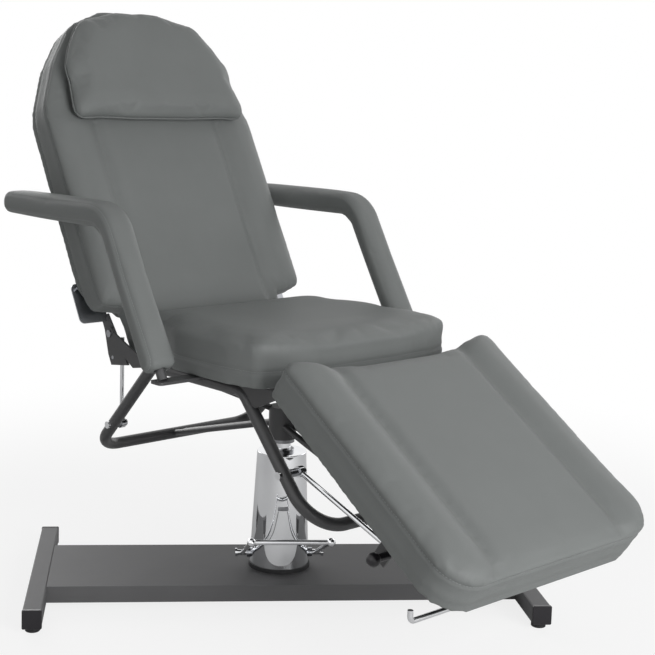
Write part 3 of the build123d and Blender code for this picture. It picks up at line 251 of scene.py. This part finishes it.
# %% Node group: leather grain
def make_leather_grain():
    """The pebbled grain of coated upholstery cloth on a slow unevenness, as a height."""
    group = bpy.data.node_groups.new("leather_grain", "ShaderNodeTree")
    add_socket(group, "Pebble", "NodeSocketFloat", "INPUT", 620.0)
    add_socket(group, "Pull", "NodeSocketFloat", "INPUT", 18.0)
    add_socket(group, "Height", "NodeSocketFloat", "OUTPUT")
    n, l = group.nodes, group.links
    gin, gout = n.new("NodeGroupInput"), n.new("NodeGroupOutput")
    coords = n.new("ShaderNodeTexCoord")
    wobble = n.new("ShaderNodeTexNoise")
    wobble.inputs["Scale"].default_value = 240.0
    wobble.inputs["Detail"].default_value = 2.0
    l.new(coords.outputs["Object"], wobble.inputs["Vector"])
    shift = n.new("ShaderNodeVectorMath")
    shift.operation = "SCALE"
    shift.inputs["Scale"].default_value = 0.0016
    l.new(wobble.outputs["Color"], shift.inputs[0])
    moved = n.new("ShaderNodeVectorMath")
    moved.operation = "ADD"
    l.new(coords.outputs["Object"], moved.inputs[0])
    l.new(shift.outputs[0], moved.inputs[1])
    cells = n.new("ShaderNodeTexVoronoi")
    cells.feature = "DISTANCE_TO_EDGE"
    l.new(gin.outputs["Pebble"], cells.inputs["Scale"])
    l.new(moved.outputs[0], cells.inputs["Vector"])
    round_off = n.new("ShaderNodeMapRange")
    round_off.interpolation_type = "SMOOTHSTEP"
    round_off.inputs["From Max"].default_value = 0.22
    l.new(cells.outputs["Distance"], round_off.inputs["Value"])
    slow = n.new("ShaderNodeTexNoise")
    slow.inputs["Detail"].default_value = 4.0
    l.new(gin.outputs["Pull"], slow.inputs["Scale"])
    l.new(coords.outputs["Object"], slow.inputs["Vector"])
    lift = n.new("ShaderNodeMath")
    lift.operation = "MULTIPLY_ADD"
    lift.inputs[1].default_value = 3.0
    l.new(slow.outputs["Fac"], lift.inputs[0])
    l.new(round_off.outputs["Result"], lift.inputs[2])
    l.new(lift.outputs[0], gout.inputs["Height"])
    return group


leather_grain = make_leather_grain()
print("node group:", leather_grain.name)

# %% Node group: worn coat
def make_worn_coat():
    """The orange peel of sprayed paint and a sparse speckle of dust and small scuffs."""
    group = bpy.data.node_groups.new("worn_coat", "ShaderNodeTree")
    add_socket(group, "Peel", "NodeSocketFloat", "INPUT", 420.0)
    add_socket(group, "Speckle", "NodeSocketFloat", "INPUT", 90.0)
    add_socket(group, "Height", "NodeSocketFloat", "OUTPUT")
    add_socket(group, "Scuff", "NodeSocketFloat", "OUTPUT")
    n, l = group.nodes, group.links
    gin, gout = n.new("NodeGroupInput"), n.new("NodeGroupOutput")
    coords = n.new("ShaderNodeTexCoord")
    peel = n.new("ShaderNodeTexNoise")
    peel.inputs["Detail"].default_value = 2.0
    l.new(coords.outputs["Object"], peel.inputs["Vector"])
    l.new(gin.outputs["Peel"], peel.inputs["Scale"])
    spots = n.new("ShaderNodeTexNoise")
    spots.inputs["Detail"].default_value = 8.0
    spots.inputs["Roughness"].default_value = 0.7
    l.new(coords.outputs["Object"], spots.inputs["Vector"])
    l.new(gin.outputs["Speckle"], spots.inputs["Scale"])
    rare = n.new("ShaderNodeMapRange")
    rare.inputs["From Min"].default_value = 0.60
    rare.inputs["From Max"].default_value = 0.78
    l.new(spots.outputs["Fac"], rare.inputs["Value"])
    l.new(peel.outputs["Fac"], gout.inputs["Height"])
    l.new(rare.outputs["Result"], gout.inputs["Scuff"])
    return group


worn_coat = make_worn_coat()
print("node group:", worn_coat.name)

# %% [markdown]
# ## Finishes
# The upholstery is a grey coated cloth with a fine pebble and a low sheen. The frame is a dark satin powder
# coat, the base a slightly lighter one. The pump cover and the rods are chromed, the small hardware is zinc
# plated, and the caps and knobs are black plastic. A colour is written as it looks on screen and turned
# into linear light by one helper.

# %% Write the finishes
def screen_colour(code):
    """Linear colour from the way it looks on screen, written as six hex digits."""
    values = [int(code[i:i + 2], 16) / 255 for i in (0, 2, 4)]
    linear = [v / 12.92 if v <= 0.04045 else ((v + 0.055) / 1.055) ** 2.4 for v in values]
    return (*linear, 1.0)


def new_finish(name, roughness, metallic=0.0):
    """A new material, with its node tree and its shader."""
    made = bpy.data.materials.new(name)
    made.use_nodes = True
    shader = made.node_tree.nodes["Principled BSDF"]
    shader.inputs["Roughness"].default_value = roughness
    shader.inputs["Metallic"].default_value = metallic
    return made, made.node_tree, shader


def place_group(tree, group, **values):
    """A node group in a material, with its inputs set by name."""
    node = tree.nodes.new("ShaderNodeGroup")
    node.node_tree = group
    for name, value in values.items():
        node.inputs[name].default_value = value
    return node


def link_roughness(tree, mask, shader, low, high):
    """Roughness that follows a mask between two values."""
    span = tree.nodes.new("ShaderNodeMapRange")
    span.inputs["To Min"].default_value = low
    span.inputs["To Max"].default_value = high
    tree.links.new(mask, span.inputs["Value"])
    tree.links.new(span.outputs["Result"], shader.inputs["Roughness"])


def link_bump(tree, height, shader, strength, distance):
    """Fine relief from a height."""
    bump = tree.nodes.new("ShaderNodeBump")
    bump.inputs["Strength"].default_value = strength
    bump.inputs["Distance"].default_value = distance
    tree.links.new(height, bump.inputs["Height"])
    tree.links.new(bump.outputs["Normal"], shader.inputs["Normal"])


def make_leather(name, code, pebble=620.0):
    """Grey coated cloth: pebbled, softly mottled, low sheen."""
    made, tree, shader = new_finish(name, 0.5)
    drift = place_group(tree, tone_drift, Color=screen_colour(code), Amount=0.05, Size=5.0)
    grain = place_group(tree, leather_grain, Pebble=pebble, Pull=16.0)
    tree.links.new(drift.outputs["Color"], shader.inputs["Base Color"])
    link_roughness(tree, drift.outputs["Mask"], shader, 0.44, 0.60)
    link_bump(tree, grain.outputs["Height"], shader, 0.28, 0.0004)
    shader.inputs["Specular IOR Level"].default_value = 0.20
    shader.inputs["Coat Roughness"].default_value = 0.4
    shader.inputs["Coat Weight"].default_value = 0.02
    return made


def make_paint(name, code, low=0.36, high=0.50, shine=0.45):
    """Satin powder coat with a light orange peel."""
    made, tree, shader = new_finish(name, 0.42)
    shader.inputs["Specular IOR Level"].default_value = shine
    drift = place_group(tree, tone_drift, Color=screen_colour(code), Amount=0.04, Size=9.0)
    coat = place_group(tree, worn_coat, Peel=480.0, Speckle=120.0)
    tree.links.new(drift.outputs["Color"], shader.inputs["Base Color"])
    link_roughness(tree, coat.outputs["Scuff"], shader, low, high)
    link_bump(tree, coat.outputs["Height"], shader, 0.18, 0.0003)
    return made


def make_metal(name, code, low, high, relief=0.05):
    """Bare or plated metal, with a drift of tone and smudges in its gloss."""
    made, tree, shader = new_finish(name, low, 1.0)
    drift = place_group(tree, tone_drift, Color=screen_colour(code), Amount=0.04, Size=14.0)
    coat = place_group(tree, worn_coat, Peel=700.0, Speckle=40.0)
    tree.links.new(drift.outputs["Color"], shader.inputs["Base Color"])
    link_roughness(tree, coat.outputs["Scuff"], shader, low, high)
    link_bump(tree, coat.outputs["Height"], shader, relief, 0.0002)
    return made


def make_plastic(name, code, low, high, grain=900.0):
    """Moulded plastic or rubber with a fine texture."""
    made, tree, shader = new_finish(name, low)
    drift = place_group(tree, tone_drift, Color=screen_colour(code), Amount=0.06, Size=20.0)
    coat = place_group(tree, worn_coat, Peel=grain, Speckle=60.0)
    tree.links.new(drift.outputs["Color"], shader.inputs["Base Color"])
    link_roughness(tree, coat.outputs["Scuff"], shader, low, high)
    link_bump(tree, coat.outputs["Height"], shader, 0.25, 0.0002)
    return made


grey_leather = make_leather("grey_leather", "767978")
seam_thread = make_leather("seam_thread", "8f9291", 1400.0)
lining_cloth = make_plastic("lining_cloth", "232325", 0.85, 0.95, 1500.0)
frame_paint = make_paint("frame_paint", "4d4d4e")
base_paint = make_paint("base_paint", "646465", 0.50, 0.62, 0.15)
chrome_plate = make_metal("chrome_plate", "e9eaec", 0.03, 0.16, 0.02)
zinc_plate = make_metal("zinc_plate", "b4b6ba", 0.28, 0.46)
machined_steel = make_metal("machined_steel", "8d8e91", 0.30, 0.45)
black_plastic = make_plastic("black_plastic", "1f1d21", 0.34, 0.50)
black_rubber = make_plastic("black_rubber", "18181a", 0.65, 0.80)
board_wood = make_plastic("board_wood", "9a7a52", 0.7, 0.85, 300.0)

finish_of_slot = {"faux_leather": grey_leather, "base_paint": base_paint, "frame_paint": frame_paint,
                  "chrome": chrome_plate, "dark_steel": machined_steel, "zinc": zinc_plate,
                  "black_plastic": black_plastic, "black_rubber": black_rubber, "plywood": board_wood}
for entry in frame["record"]["subparts"]:
    node = nodes[entry["node"]]
    node.data.materials.clear()
    node.data.materials.append(finish_of_slot[entry["material_slot"]])
print("finishes:", len(finish_of_slot), "slots on", len(nodes), "nodes")

# %% [markdown]
# ## Pads
# Each large pad is foam on a board, wrapped in one cover that is stapled underneath, so the board never
# shows. Its cover starts as the CAD cushion and its board together, remeshed to an even skin, a little
# shrunk, and swollen by a cloth simulation, which rounds the rims the way stuffed cloth does. How far a
# point may move is capped, so the pad keeps its place. The side rolls and the valleys are worked in after.

# %% The frames of the pads
pump_y = 0.03193
back_rise = math.radians(90 - 28.4)
leg_slope = math.radians(34.5)


def pad_frame(place, tilt):
    """The frame of a pad: x across the chair, y along the pad, z out of its top."""
    return Matrix.Translation(place) @ Matrix.Rotation(tilt, 4, "X")


back_frame = pad_frame(Vector((0, 0.211 + pump_y, 0.505)), back_rise)
leg_frame = Matrix.Translation((0, pump_y - 0.303, 0.592)) @ Matrix((
    (-1, 0, 0, 0), (0, -math.cos(leg_slope), -math.sin(leg_slope), 0),
    (0, -math.sin(leg_slope), math.cos(leg_slope), 0), (0, 0, 0, 1)))
seat_frame = Matrix.Translation((0, pump_y, 0))
print("back frame z:", back_frame.to_3x3().col[2], "leg frame z:", leg_frame.to_3x3().col[2])

# %% Copy, select and ease
def leave_only(obj):
    """Select one object and make it active."""
    bpy.ops.object.select_all(action="DESELECT")
    obj.select_set(True)
    bpy.context.view_layer.objects.active = obj


def wrap_nodes(name, members):
    """One mesh of several CAD nodes, with its doubles merged."""
    mesh = bpy.data.meshes.new(name)
    work = bmesh.new()
    for member in members:
        work.from_mesh(nodes[member].data)
    bmesh.ops.remove_doubles(work, verts=work.verts, dist=1e-5)
    work.to_mesh(mesh)
    work.free()
    obj = bpy.data.objects.new(name, mesh)
    bpy.context.scene.collection.objects.link(obj)
    return obj


def ease(value, low, high):
    """0 below low, 1 above high, and a smooth step between."""
    t = min(max((value - low) / (high - low), 0.0), 1.0)
    return t * t * (3 - 2 * t)


print("copy helpers ready")

# %% Swell a pad
def swell(obj, voxel, shrink, cap, place, held, pressure=4.0, frames=20):
    """Remesh a pad to an even skin and swell it as stuffed cloth, each point by no more than the cap.

    What lies below the held heights of the pad's frame is on the board and stays where it is.
    """
    leave_only(obj)
    skin = obj.modifiers.new("skin", "REMESH")
    skin.mode = "VOXEL"
    skin.voxel_size = voxel
    bpy.ops.object.modifier_apply(modifier="skin")
    even = obj.modifiers.new("even", "SMOOTH")
    even.iterations = 3
    bpy.ops.object.modifier_apply(modifier="even")
    mesh = obj.data
    for vertex, normal in zip(mesh.vertices, [v.normal.copy() for v in mesh.vertices]):
        vertex.co -= normal * shrink
    start = [v.co.copy() for v in mesh.vertices]
    cloth = obj.modifiers.new("stuffing", "CLOTH")
    cloth.settings.quality = 4
    cloth.settings.mass = 0.4
    cloth.settings.tension_stiffness = 25
    cloth.settings.compression_stiffness = 25
    cloth.settings.bending_stiffness = 1.2
    cloth.settings.use_pressure = True
    cloth.settings.uniform_pressure_force = pressure
    cloth.settings.effector_weights.gravity = 0
    cloth.collision_settings.use_collision = False
    scene = bpy.context.scene
    for step in range(1, frames + 1):
        scene.frame_set(step)
    bpy.ops.object.modifier_apply(modifier="stuffing")
    scene.frame_set(1)
    inverse = place.inverted()
    for vertex, before in zip(obj.data.vertices, start):
        move = vertex.co - before
        if move.length > cap:
            move *= cap / move.length
        vertex.co = before + move * ease((inverse @ before).z, *held)


print("swelling helper ready")

# %% Round and finish a pad
def round_and_subdivide(obj, turns):
    """Even out the skin and add one level of subdivision."""
    leave_only(obj)
    even = obj.modifiers.new("even", "SMOOTH")
    even.iterations = turns
    even.factor = 0.5
    bpy.ops.object.modifier_apply(modifier="even")
    finer = obj.modifiers.new("finer", "SUBSURF")
    finer.levels = 1
    finer.render_levels = 1
    bpy.ops.object.modifier_apply(modifier="finer")
    bpy.ops.object.shade_smooth()


def finish_pad(obj, body, replaced):
    """Give a pad its finish, hang it on its body and hide the CAD parts it replaces."""
    obj.data.materials.clear()
    obj.data.materials.append(grey_leather)
    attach(obj, body)
    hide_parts(*replaced)
    print(obj.name, "faces:", len(obj.data.polygons))


print("pad helpers ready")

# %% [markdown]
# ## Seams
# A pad's cover is sewn from a top panel and a side band, and the seam runs round the pad just below its
# rim. The seam's line is found by cutting the finished skin with a plane of the pad's own frame, so it
# lies on the skin whatever its shape. The skin is pressed in along it and a row of stitches is laid in it.

# %% Find a seam's line
def cut_loop(obj, place, height):
    """Points of the longest closed line where a plane of the pad's frame cuts its skin, in order."""
    work = bmesh.new()
    work.from_mesh(obj.data)
    normal = place.to_3x3().col[2].normalized()
    cut = bmesh.ops.bisect_plane(work, geom=work.verts[:] + work.edges[:] + work.faces[:],
                                 plane_co=place @ Vector((0, 0, height)), plane_no=normal, dist=1e-7)
    edges = [part for part in cut["geom_cut"] if isinstance(part, bmesh.types.BMEdge)]
    neighbours = {}
    for edge in edges:
        a, b = edge.verts
        neighbours.setdefault(a, []).append(b)
        neighbours.setdefault(b, []).append(a)
    loops, seen = [], set()
    for start in neighbours:
        if start in seen:
            continue
        line, current, before = [start], start, None
        seen.add(start)
        while True:
            onward = [v for v in neighbours[current] if v is not before and v not in seen]
            if not onward:
                break
            before, current = current, onward[0]
            seen.add(current)
            line.append(current)
        loops.append([v.co.copy() for v in line])
    work.free()
    return max(loops, key=len)


def even_points(points, step):
    """Points along a closed line at one spacing."""
    line = points + [points[0]]
    lengths = [0.0]
    for a, b in zip(line, line[1:]):
        lengths.append(lengths[-1] + (b - a).length)
    count = max(int(lengths[-1] / step), 8)
    spaced, k = [], 0
    for i in range(count):
        want = lengths[-1] * i / count
        while k < len(lengths) - 2 and lengths[k + 1] < want:
            k += 1
        span = lengths[k + 1] - lengths[k] or 1.0
        spaced.append(line[k].lerp(line[k + 1], (want - lengths[k]) / span))
    return spaced


def calm(points, turns=4):
    """Smooth a closed line a little."""
    for _ in range(turns):
        points = [(points[i - 1] + points[i] * 2 + points[(i + 1) % len(points)]) / 4
                  for i in range(len(points))]
    return points


print("line helpers ready")

# %% [markdown]
# A seam pulls the cover in, so the skin is pressed along the line, most on the line itself and less beside
# it. A stitch is a small drawn-out ball that lies on the skin, modelled once and copied along the line.

# %% Press, pipe and stitch
def press_line(obj, points, depth, width):
    """Press the skin in along a line."""
    tree = BVHTree.FromPolygons(points + [p + Vector((0, 0, 1e-5)) for p in points],
                                [(i, (i + 1) % len(points), i + len(points)) for i in range(len(points))])
    for vertex, normal in zip(obj.data.vertices, [v.normal.copy() for v in obj.data.vertices]):
        near = tree.find_nearest(vertex.co, width * 3)
        if near[0] is not None:
            vertex.co -= normal * depth * math.exp(-(near[3] / width) ** 2)


def skin_tree(obj):
    """A search tree over a piece's skin."""
    mesh = obj.data
    return BVHTree.FromPolygons([v.co for v in mesh.vertices], [p.vertices for p in mesh.polygons])


def lay_tube(name, points, radius, closed=True, sides=3):
    """A round cord along a line, as a mesh."""
    curve = bpy.data.curves.new(name, "CURVE")
    curve.dimensions = "3D"
    curve.bevel_depth = radius
    curve.bevel_resolution = sides
    curve.use_fill_caps = not closed
    spline = curve.splines.new("POLY")
    spline.points.add(len(points) - 1)
    for point, place in zip(spline.points, points):
        point.co = (*place, 1)
    spline.use_cyclic_u = closed
    obj = bpy.data.objects.new(name, curve)
    bpy.context.scene.collection.objects.link(obj)
    leave_only(obj)
    bpy.ops.object.convert(target="MESH")
    bpy.ops.object.shade_smooth()
    return bpy.context.object


def lay_stitches(name, skin, points, lift=0.0002):
    """A row of stitches along a line of points on a skin, each one a small drawn-out ball."""
    bpy.ops.object.select_all(action="DESELECT")
    bpy.ops.mesh.primitive_uv_sphere_add(segments=6, ring_count=4, radius=1.0)
    one = bpy.context.object
    tree = skin_tree(skin)
    work = bmesh.new()
    for here, ahead in zip(points, points[1:] + points[:1]):
        place, normal, _, _ = tree.find_nearest((here + ahead) / 2)
        along = (ahead - here).normalized()
        across = normal.cross(along).normalized()
        length = (ahead - here).length * 0.36
        turn = Matrix((along * length, across * 0.0006, normal * 0.0005)).transposed().to_4x4()
        spot = Matrix.Translation(place + normal * lift) @ turn
        size = len(work.verts)
        work.from_mesh(one.data)
        work.verts.ensure_lookup_table()
        bmesh.ops.transform(work, matrix=spot, verts=work.verts[size:])
    bpy.data.objects.remove(one)
    mesh = bpy.data.meshes.new(name)
    work.to_mesh(mesh)
    work.free()
    obj = bpy.data.objects.new(name, mesh)
    bpy.context.scene.collection.objects.link(obj)
    leave_only(obj)
    bpy.ops.object.shade_smooth()
    return obj


print("stitch helpers ready")

# %% Dress and sew
def dress(obj, body, material, replaced=()):
    """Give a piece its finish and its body."""
    obj.data.materials.clear()
    obj.data.materials.append(material)
    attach(obj, body)
    if replaced:
        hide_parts(*replaced)


def sew(pad, name, body, place, height, depth=0.0022, width=0.0042, stitch=0.0065):
    """A pressed seam with stitches round a pad, at a height of its frame."""
    line = calm(even_points(cut_loop(pad, place, height), 0.006))
    press_line(pad, line, depth, width)
    row = lay_stitches(name, pad, even_points(line, stitch))
    dress(row, body, seam_thread)
    print(row.name, "stitches:", len(row.data.polygons) // 24)


print("sewing helpers ready")

# %% [markdown]
# Under a pad the cover's raw edge is hidden by a thin dark cloth, stapled on. It could be modelled as a
# plane, but cutting it from the pad's own outline, drawn in a little, makes it fit any pad.

# %% Line a pad
def lining(name, pad, body, place, height, inset=0.022, low=0.0, thick=0.003):
    """The thin cloth stapled under a pad, cut to the outline of its underside."""
    outline = [place.inverted() @ p for p in calm(even_points(cut_loop(pad, place, height), 0.008))]
    curve = bpy.data.curves.new(name, "CURVE")
    curve.dimensions = "2D"
    curve.fill_mode = "BOTH"
    curve.extrude = thick / 2
    curve.offset = -inset
    spline = curve.splines.new("POLY")
    spline.points.add(len(outline) - 1)
    turned = sum(a.x * b.y - b.x * a.y for a, b in zip(outline, outline[1:] + outline[:1])) < 0
    for point, at in zip(spline.points, reversed(outline) if turned else outline):
        point.co = (at.x, at.y, 0, 1)
    spline.use_cyclic_u = True
    obj = bpy.data.objects.new(name, curve)
    bpy.context.scene.collection.objects.link(obj)
    leave_only(obj)
    bpy.ops.object.convert(target="MESH")
    obj = bpy.context.object
    obj.data.transform(place @ Matrix.Translation((0, 0, low + thick / 2)))
    leave_only(obj)
    bpy.ops.object.mode_set(mode="EDIT")
    bpy.ops.mesh.select_all(action="SELECT")
    bpy.ops.mesh.remove_doubles(threshold=1e-5)
    bpy.ops.mesh.normals_make_consistent(inside=False)
    bpy.ops.object.mode_set(mode="OBJECT")
    dress(obj, body, lining_cloth)
    return obj


print("lining helper ready")

# %% [markdown]
# ## The back, the leg rest and the seat
# The back and the leg rest have a flat middle and a round roll down each side, with a soft valley between
# them. The back's wide part comes down on both sides to just over the seat, and its middle ends in a soft
# lip. The seat is one plain pad with a slightly hollow front that faces the leg rest. These forms are small
# next to the pad, so its points are moved by smooth steps in the pad's own frame.

# %% Shape helpers
def shape_rolls(obj, place, valley_x, rim_drop, roll, valley, ends):
    """Raise a roll on each side of a pad and press a soft valley beside it."""
    inverse = place.inverted()
    up = place.to_3x3().col[2].normalized()
    for vertex in obj.data.vertices:
        local = inverse @ vertex.co
        top = ease(local.z, -rim_drop, 0.002)
        if top == 0:
            continue
        away = abs(local.x) - valley_x
        along = ease(local.y, ends[0], ends[0] + 0.05) * (1 - ease(local.y, ends[1] - 0.05, ends[1]))
        lift = roll * ease(away, -0.004, 0.050) * along
        dent = valley * math.exp(-(away / 0.014) ** 2) * along
        vertex.co += up * (lift - dent) * top


def lower_wings(obj, place, waist=0.222, step=0.018, slant=0.577):
    """Draw the back's wide part down to a level edge just over the seat, beside the hinge arms."""
    inverse = place.inverted()
    down = -place.to_3x3().col[1].normalized()
    for vertex in obj.data.vertices:
        local = inverse @ vertex.co
        out = abs(local.x)
        drop = (step + slant * max(out - waist, 0)) * ease(out, waist - 0.017, waist + 0.003)
        vertex.co += down * drop * (1 - ease(local.y, 0.18, 0.34)) * ease(local.z, -0.082, -0.050)


def roll_lip(obj, place, rise=0.006):
    """Round the lower edge of the back into a soft lip over the rear of the seat."""
    inverse = place.inverted()
    out = place.to_3x3().col[2].normalized()
    for vertex in obj.data.vertices:
        local = inverse @ vertex.co
        middle = 1 - ease(abs(local.x), 0.15, 0.21)
        roll = math.exp(-((local.y - 0.075) / 0.035) ** 2) * ease(local.z, -0.03, 0)
        vertex.co += out * rise * middle * roll


def hollow_seat(obj, pull=0.011, corner_rise=0.004, edge_dip=0.006, middle_dip=0.005):
    """Press the seat's middle and its front edge in a little, and leave its front corners full."""
    for vertex in obj.data.vertices:
        across, ahead = abs(vertex.co.x), pump_y - vertex.co.y
        top = ease(vertex.co.z, 0.570, 0.600)
        front = ease(ahead, 0.150, 0.262)
        middle = 1 - ease(across, 0.120, 0.225)
        corner = math.exp(-((across - 0.240) / 0.040) ** 2)
        dip = (1 - ease(across, 0.08, 0.25)) * (1 - ease(abs(ahead - 0.04), 0.06, 0.20))
        vertex.co.y += pull * middle * front
        vertex.co.z += (corner_rise * corner * front - edge_dip * middle * front - middle_dip * dip) * top


print("shape helpers ready")

# %% The back pad
pad_voxel = 0.0075
board_band = (-0.078, -0.060)
rim_seam, rear_seam = -0.014, -0.066
lining_cut, lining_low = -0.074, -0.0818
back_pad = wrap_nodes("back_pad", ["back_cushion", "back_board"])
swell(back_pad, voxel=pad_voxel, shrink=0.003, cap=0.006, place=back_frame, held=board_band)
shape_rolls(back_pad, back_frame, valley_x=0.182, rim_drop=0.02, roll=0.008, valley=0.005, ends=(0.03, 0.60))
lower_wings(back_pad, back_frame)
roll_lip(back_pad, back_frame)
round_and_subdivide(back_pad, 2)
sew(back_pad, "back_seam", "backrest", back_frame, rim_seam)
sew(back_pad, "back_seam_rear", "backrest", back_frame, rear_seam)
finish_pad(back_pad, "backrest", ["back_cushion", "back_board"])
lining("back_lining", back_pad, "backrest", back_frame, lining_cut, low=lining_low)

# %% The leg pad
leg_pad = wrap_nodes("leg_pad", ["leg_cushion", "leg_board"])
swell(leg_pad, voxel=pad_voxel, shrink=0.003, cap=0.006, place=leg_frame, held=board_band)
shape_rolls(leg_pad, leg_frame, valley_x=0.182, rim_drop=0.02, roll=0.008, valley=0.005, ends=(-0.02, 0.585))
round_and_subdivide(leg_pad, 2)
sew(leg_pad, "leg_seam", "legrest", leg_frame, rim_seam)
finish_pad(leg_pad, "legrest", ["leg_cushion", "leg_board"])
lining("leg_lining", leg_pad, "legrest", leg_frame, lining_cut, low=lining_low)

# %% The seat pad
seat_pad = wrap_nodes("seat_pad", ["seat_cushion", "seat_board"])
swell(seat_pad, voxel=pad_voxel, shrink=0.003, cap=0.006, place=seat_frame, held=(0.514, 0.532))
hollow_seat(seat_pad)
round_and_subdivide(seat_pad, 2)
sew(seat_pad, "seat_seam", "seat_frame", seat_frame, height=0.545)
finish_pad(seat_pad, "seat_frame", ["seat_cushion", "seat_board"])
lining("seat_lining", seat_pad, "seat_frame", seat_frame, height=0.518, low=0.5102)

# %% [markdown]
# ## The head pillow and the arm pads
# The pillow is a loose-looking wedge with a corded edge at its widest. Its top is drawn up towards the
# back's top and its shoulders are squared. The arm pads are foam sleeves over the bent bars, sewn along both
# edges of their outer face, and drawn a little further down the bars than in the CAD model.

# %% The head pillow
head_pad = wrap_nodes("head_pad", ["head_pillow"])
swell(head_pad, voxel=0.0055, shrink=0.003, cap=0.007, place=back_frame, held=(0.0, 0.001))
to_back = back_frame.inverted()
pillow_reach = [(to_back @ v.co).y for v in head_pad.data.vertices]
pillow_low, pillow_high = min(pillow_reach), max(pillow_reach)
shoulder_gain, top_reach = 0.09, 0.026
for vertex in head_pad.data.vertices:
    local = to_back @ vertex.co
    up = (local.y - pillow_low) / (pillow_high - pillow_low)
    local.x *= 1 + shoulder_gain * ease(up, 0.30, 0.75)
    local.y += top_reach * ease(up, 0.40, 1.0)
    vertex.co = back_frame @ local
print("pillow from", round(pillow_low, 3), "to", round(pillow_high, 3), "along the back")
round_and_subdivide(head_pad, 2)
cord_height, cord_radius = 0.031, 0.0022
edge_line = calm(even_points(cut_loop(head_pad, back_frame, cord_height), 0.005))
press_line(head_pad, edge_line, depth=0.0015, width=0.005)
pillow_cord = lay_tube("pillow_cord", edge_line, cord_radius)
dress(pillow_cord, "backrest", grey_leather)
finish_pad(head_pad, "backrest", ["head_pillow"])

# %% The arm pads
foot_way = Vector((0, -0.508, -0.861))
foot_reach = 0.021
arm_x, arm_seam_out = 0.355, 0.028
for side, sign in (("right", -1), ("left", 1)):
    arm_pad = wrap_nodes("arm_wrap_" + side, ["arm_pad_" + side])
    swell(arm_pad, voxel=0.005, shrink=0.0015, cap=0.003, place=seat_frame, held=(0.0, 0.001))
    for vertex in arm_pad.data.vertices:
        vertex.co += foot_way * foot_reach * (1 - ease(vertex.co.z, 0.56, 0.70))
    round_and_subdivide(arm_pad, 2)
    outer_face = Matrix.Translation((0, pump_y, 0)) @ Matrix.Rotation(sign * math.pi / 2, 4, "Y")
    sew(arm_pad, "arm_seam_" + side, "seat_frame", outer_face, arm_x + arm_seam_out,
        depth=0.0010, width=0.004, stitch=0.006)
    finish_pad(arm_pad, "seat_frame", ["arm_pad_" + side])

# %% [markdown]
# ## Trim of the pump cover
# The chromed cover has a small raised plate on its front, left bare here, and under it two fine beads that
# part like the outline of a bottle and run out to the sides. Each is laid on the cover's cone by its turn
# round the pump and its height, so it follows the curve.

# %% The cone of the cover
base_turn = math.radians(36)
cover_front = math.atan2(-math.cos(base_turn), -math.sin(base_turn))
cover_foot, cover_rise = 0.059, 0.244
foot_radius, cover_taper = 0.0645, 0.0110


def on_cover(turn, height, proud=0.0):
    """A point at a turn from the cover's front and a height, this far out of its skin."""
    radius = foot_radius - cover_taper * (height - cover_foot) / cover_rise + proud
    angle = cover_front + turn
    return Vector((radius * math.cos(angle), pump_y + radius * math.sin(angle), height))


plate_height = 0.192
print("front of the cover:", tuple(round(v, 3) for v in on_cover(0, plate_height)))

# %% The plate
plate_size = (0.022, 0.0018, 0.0085)
plate_radius = 0.0585
bpy.ops.object.select_all(action="DESELECT")
bpy.ops.mesh.primitive_cube_add(size=1, location=(0, 0, 0))
plate = bpy.context.object
plate.name = "cover_plate"
bpy.ops.object.mode_set(mode="EDIT")
bpy.ops.transform.resize(value=plate_size)
bpy.ops.mesh.select_all(action="SELECT")
bpy.ops.mesh.bevel(offset=0.0006, segments=2, affect="EDGES")
bpy.ops.mesh.select_all(action="SELECT")
bpy.ops.mesh.subdivide(number_cuts=3)
bpy.ops.object.mode_set(mode="OBJECT")
for vertex in plate.data.vertices:
    x, y, z = vertex.co
    vertex.co = on_cover(x / plate_radius, plate_height + z, 0.0004 - y)
leave_only(plate)
bpy.ops.object.shade_smooth_by_angle(angle=math.radians(40))
dress(plate, "base", machined_steel)
print("plate faces:", len(plate.data.polygons))

# %% The beads
bead_steps = 40
bead_radius = 0.0009
bead_top, bead_fall = 0.186, 0.094
neck_turn, foot_turn = 9.7, 65
for side, sign in (("right", -1), ("left", 1)):
    bead_line = []
    for step in range(bead_steps + 1):
        t = step / bead_steps
        turn = math.radians(neck_turn + foot_turn * (0.25 * t + 0.75 * t ** 5))
        bead_line.append(on_cover(sign * turn, bead_top - bead_fall * t, 0.0002))
    bead = lay_tube("cover_bead_" + side, bead_line, bead_radius, closed=False, sides=2)
    dress(bead, "base", machined_steel)
print("beads: 2")
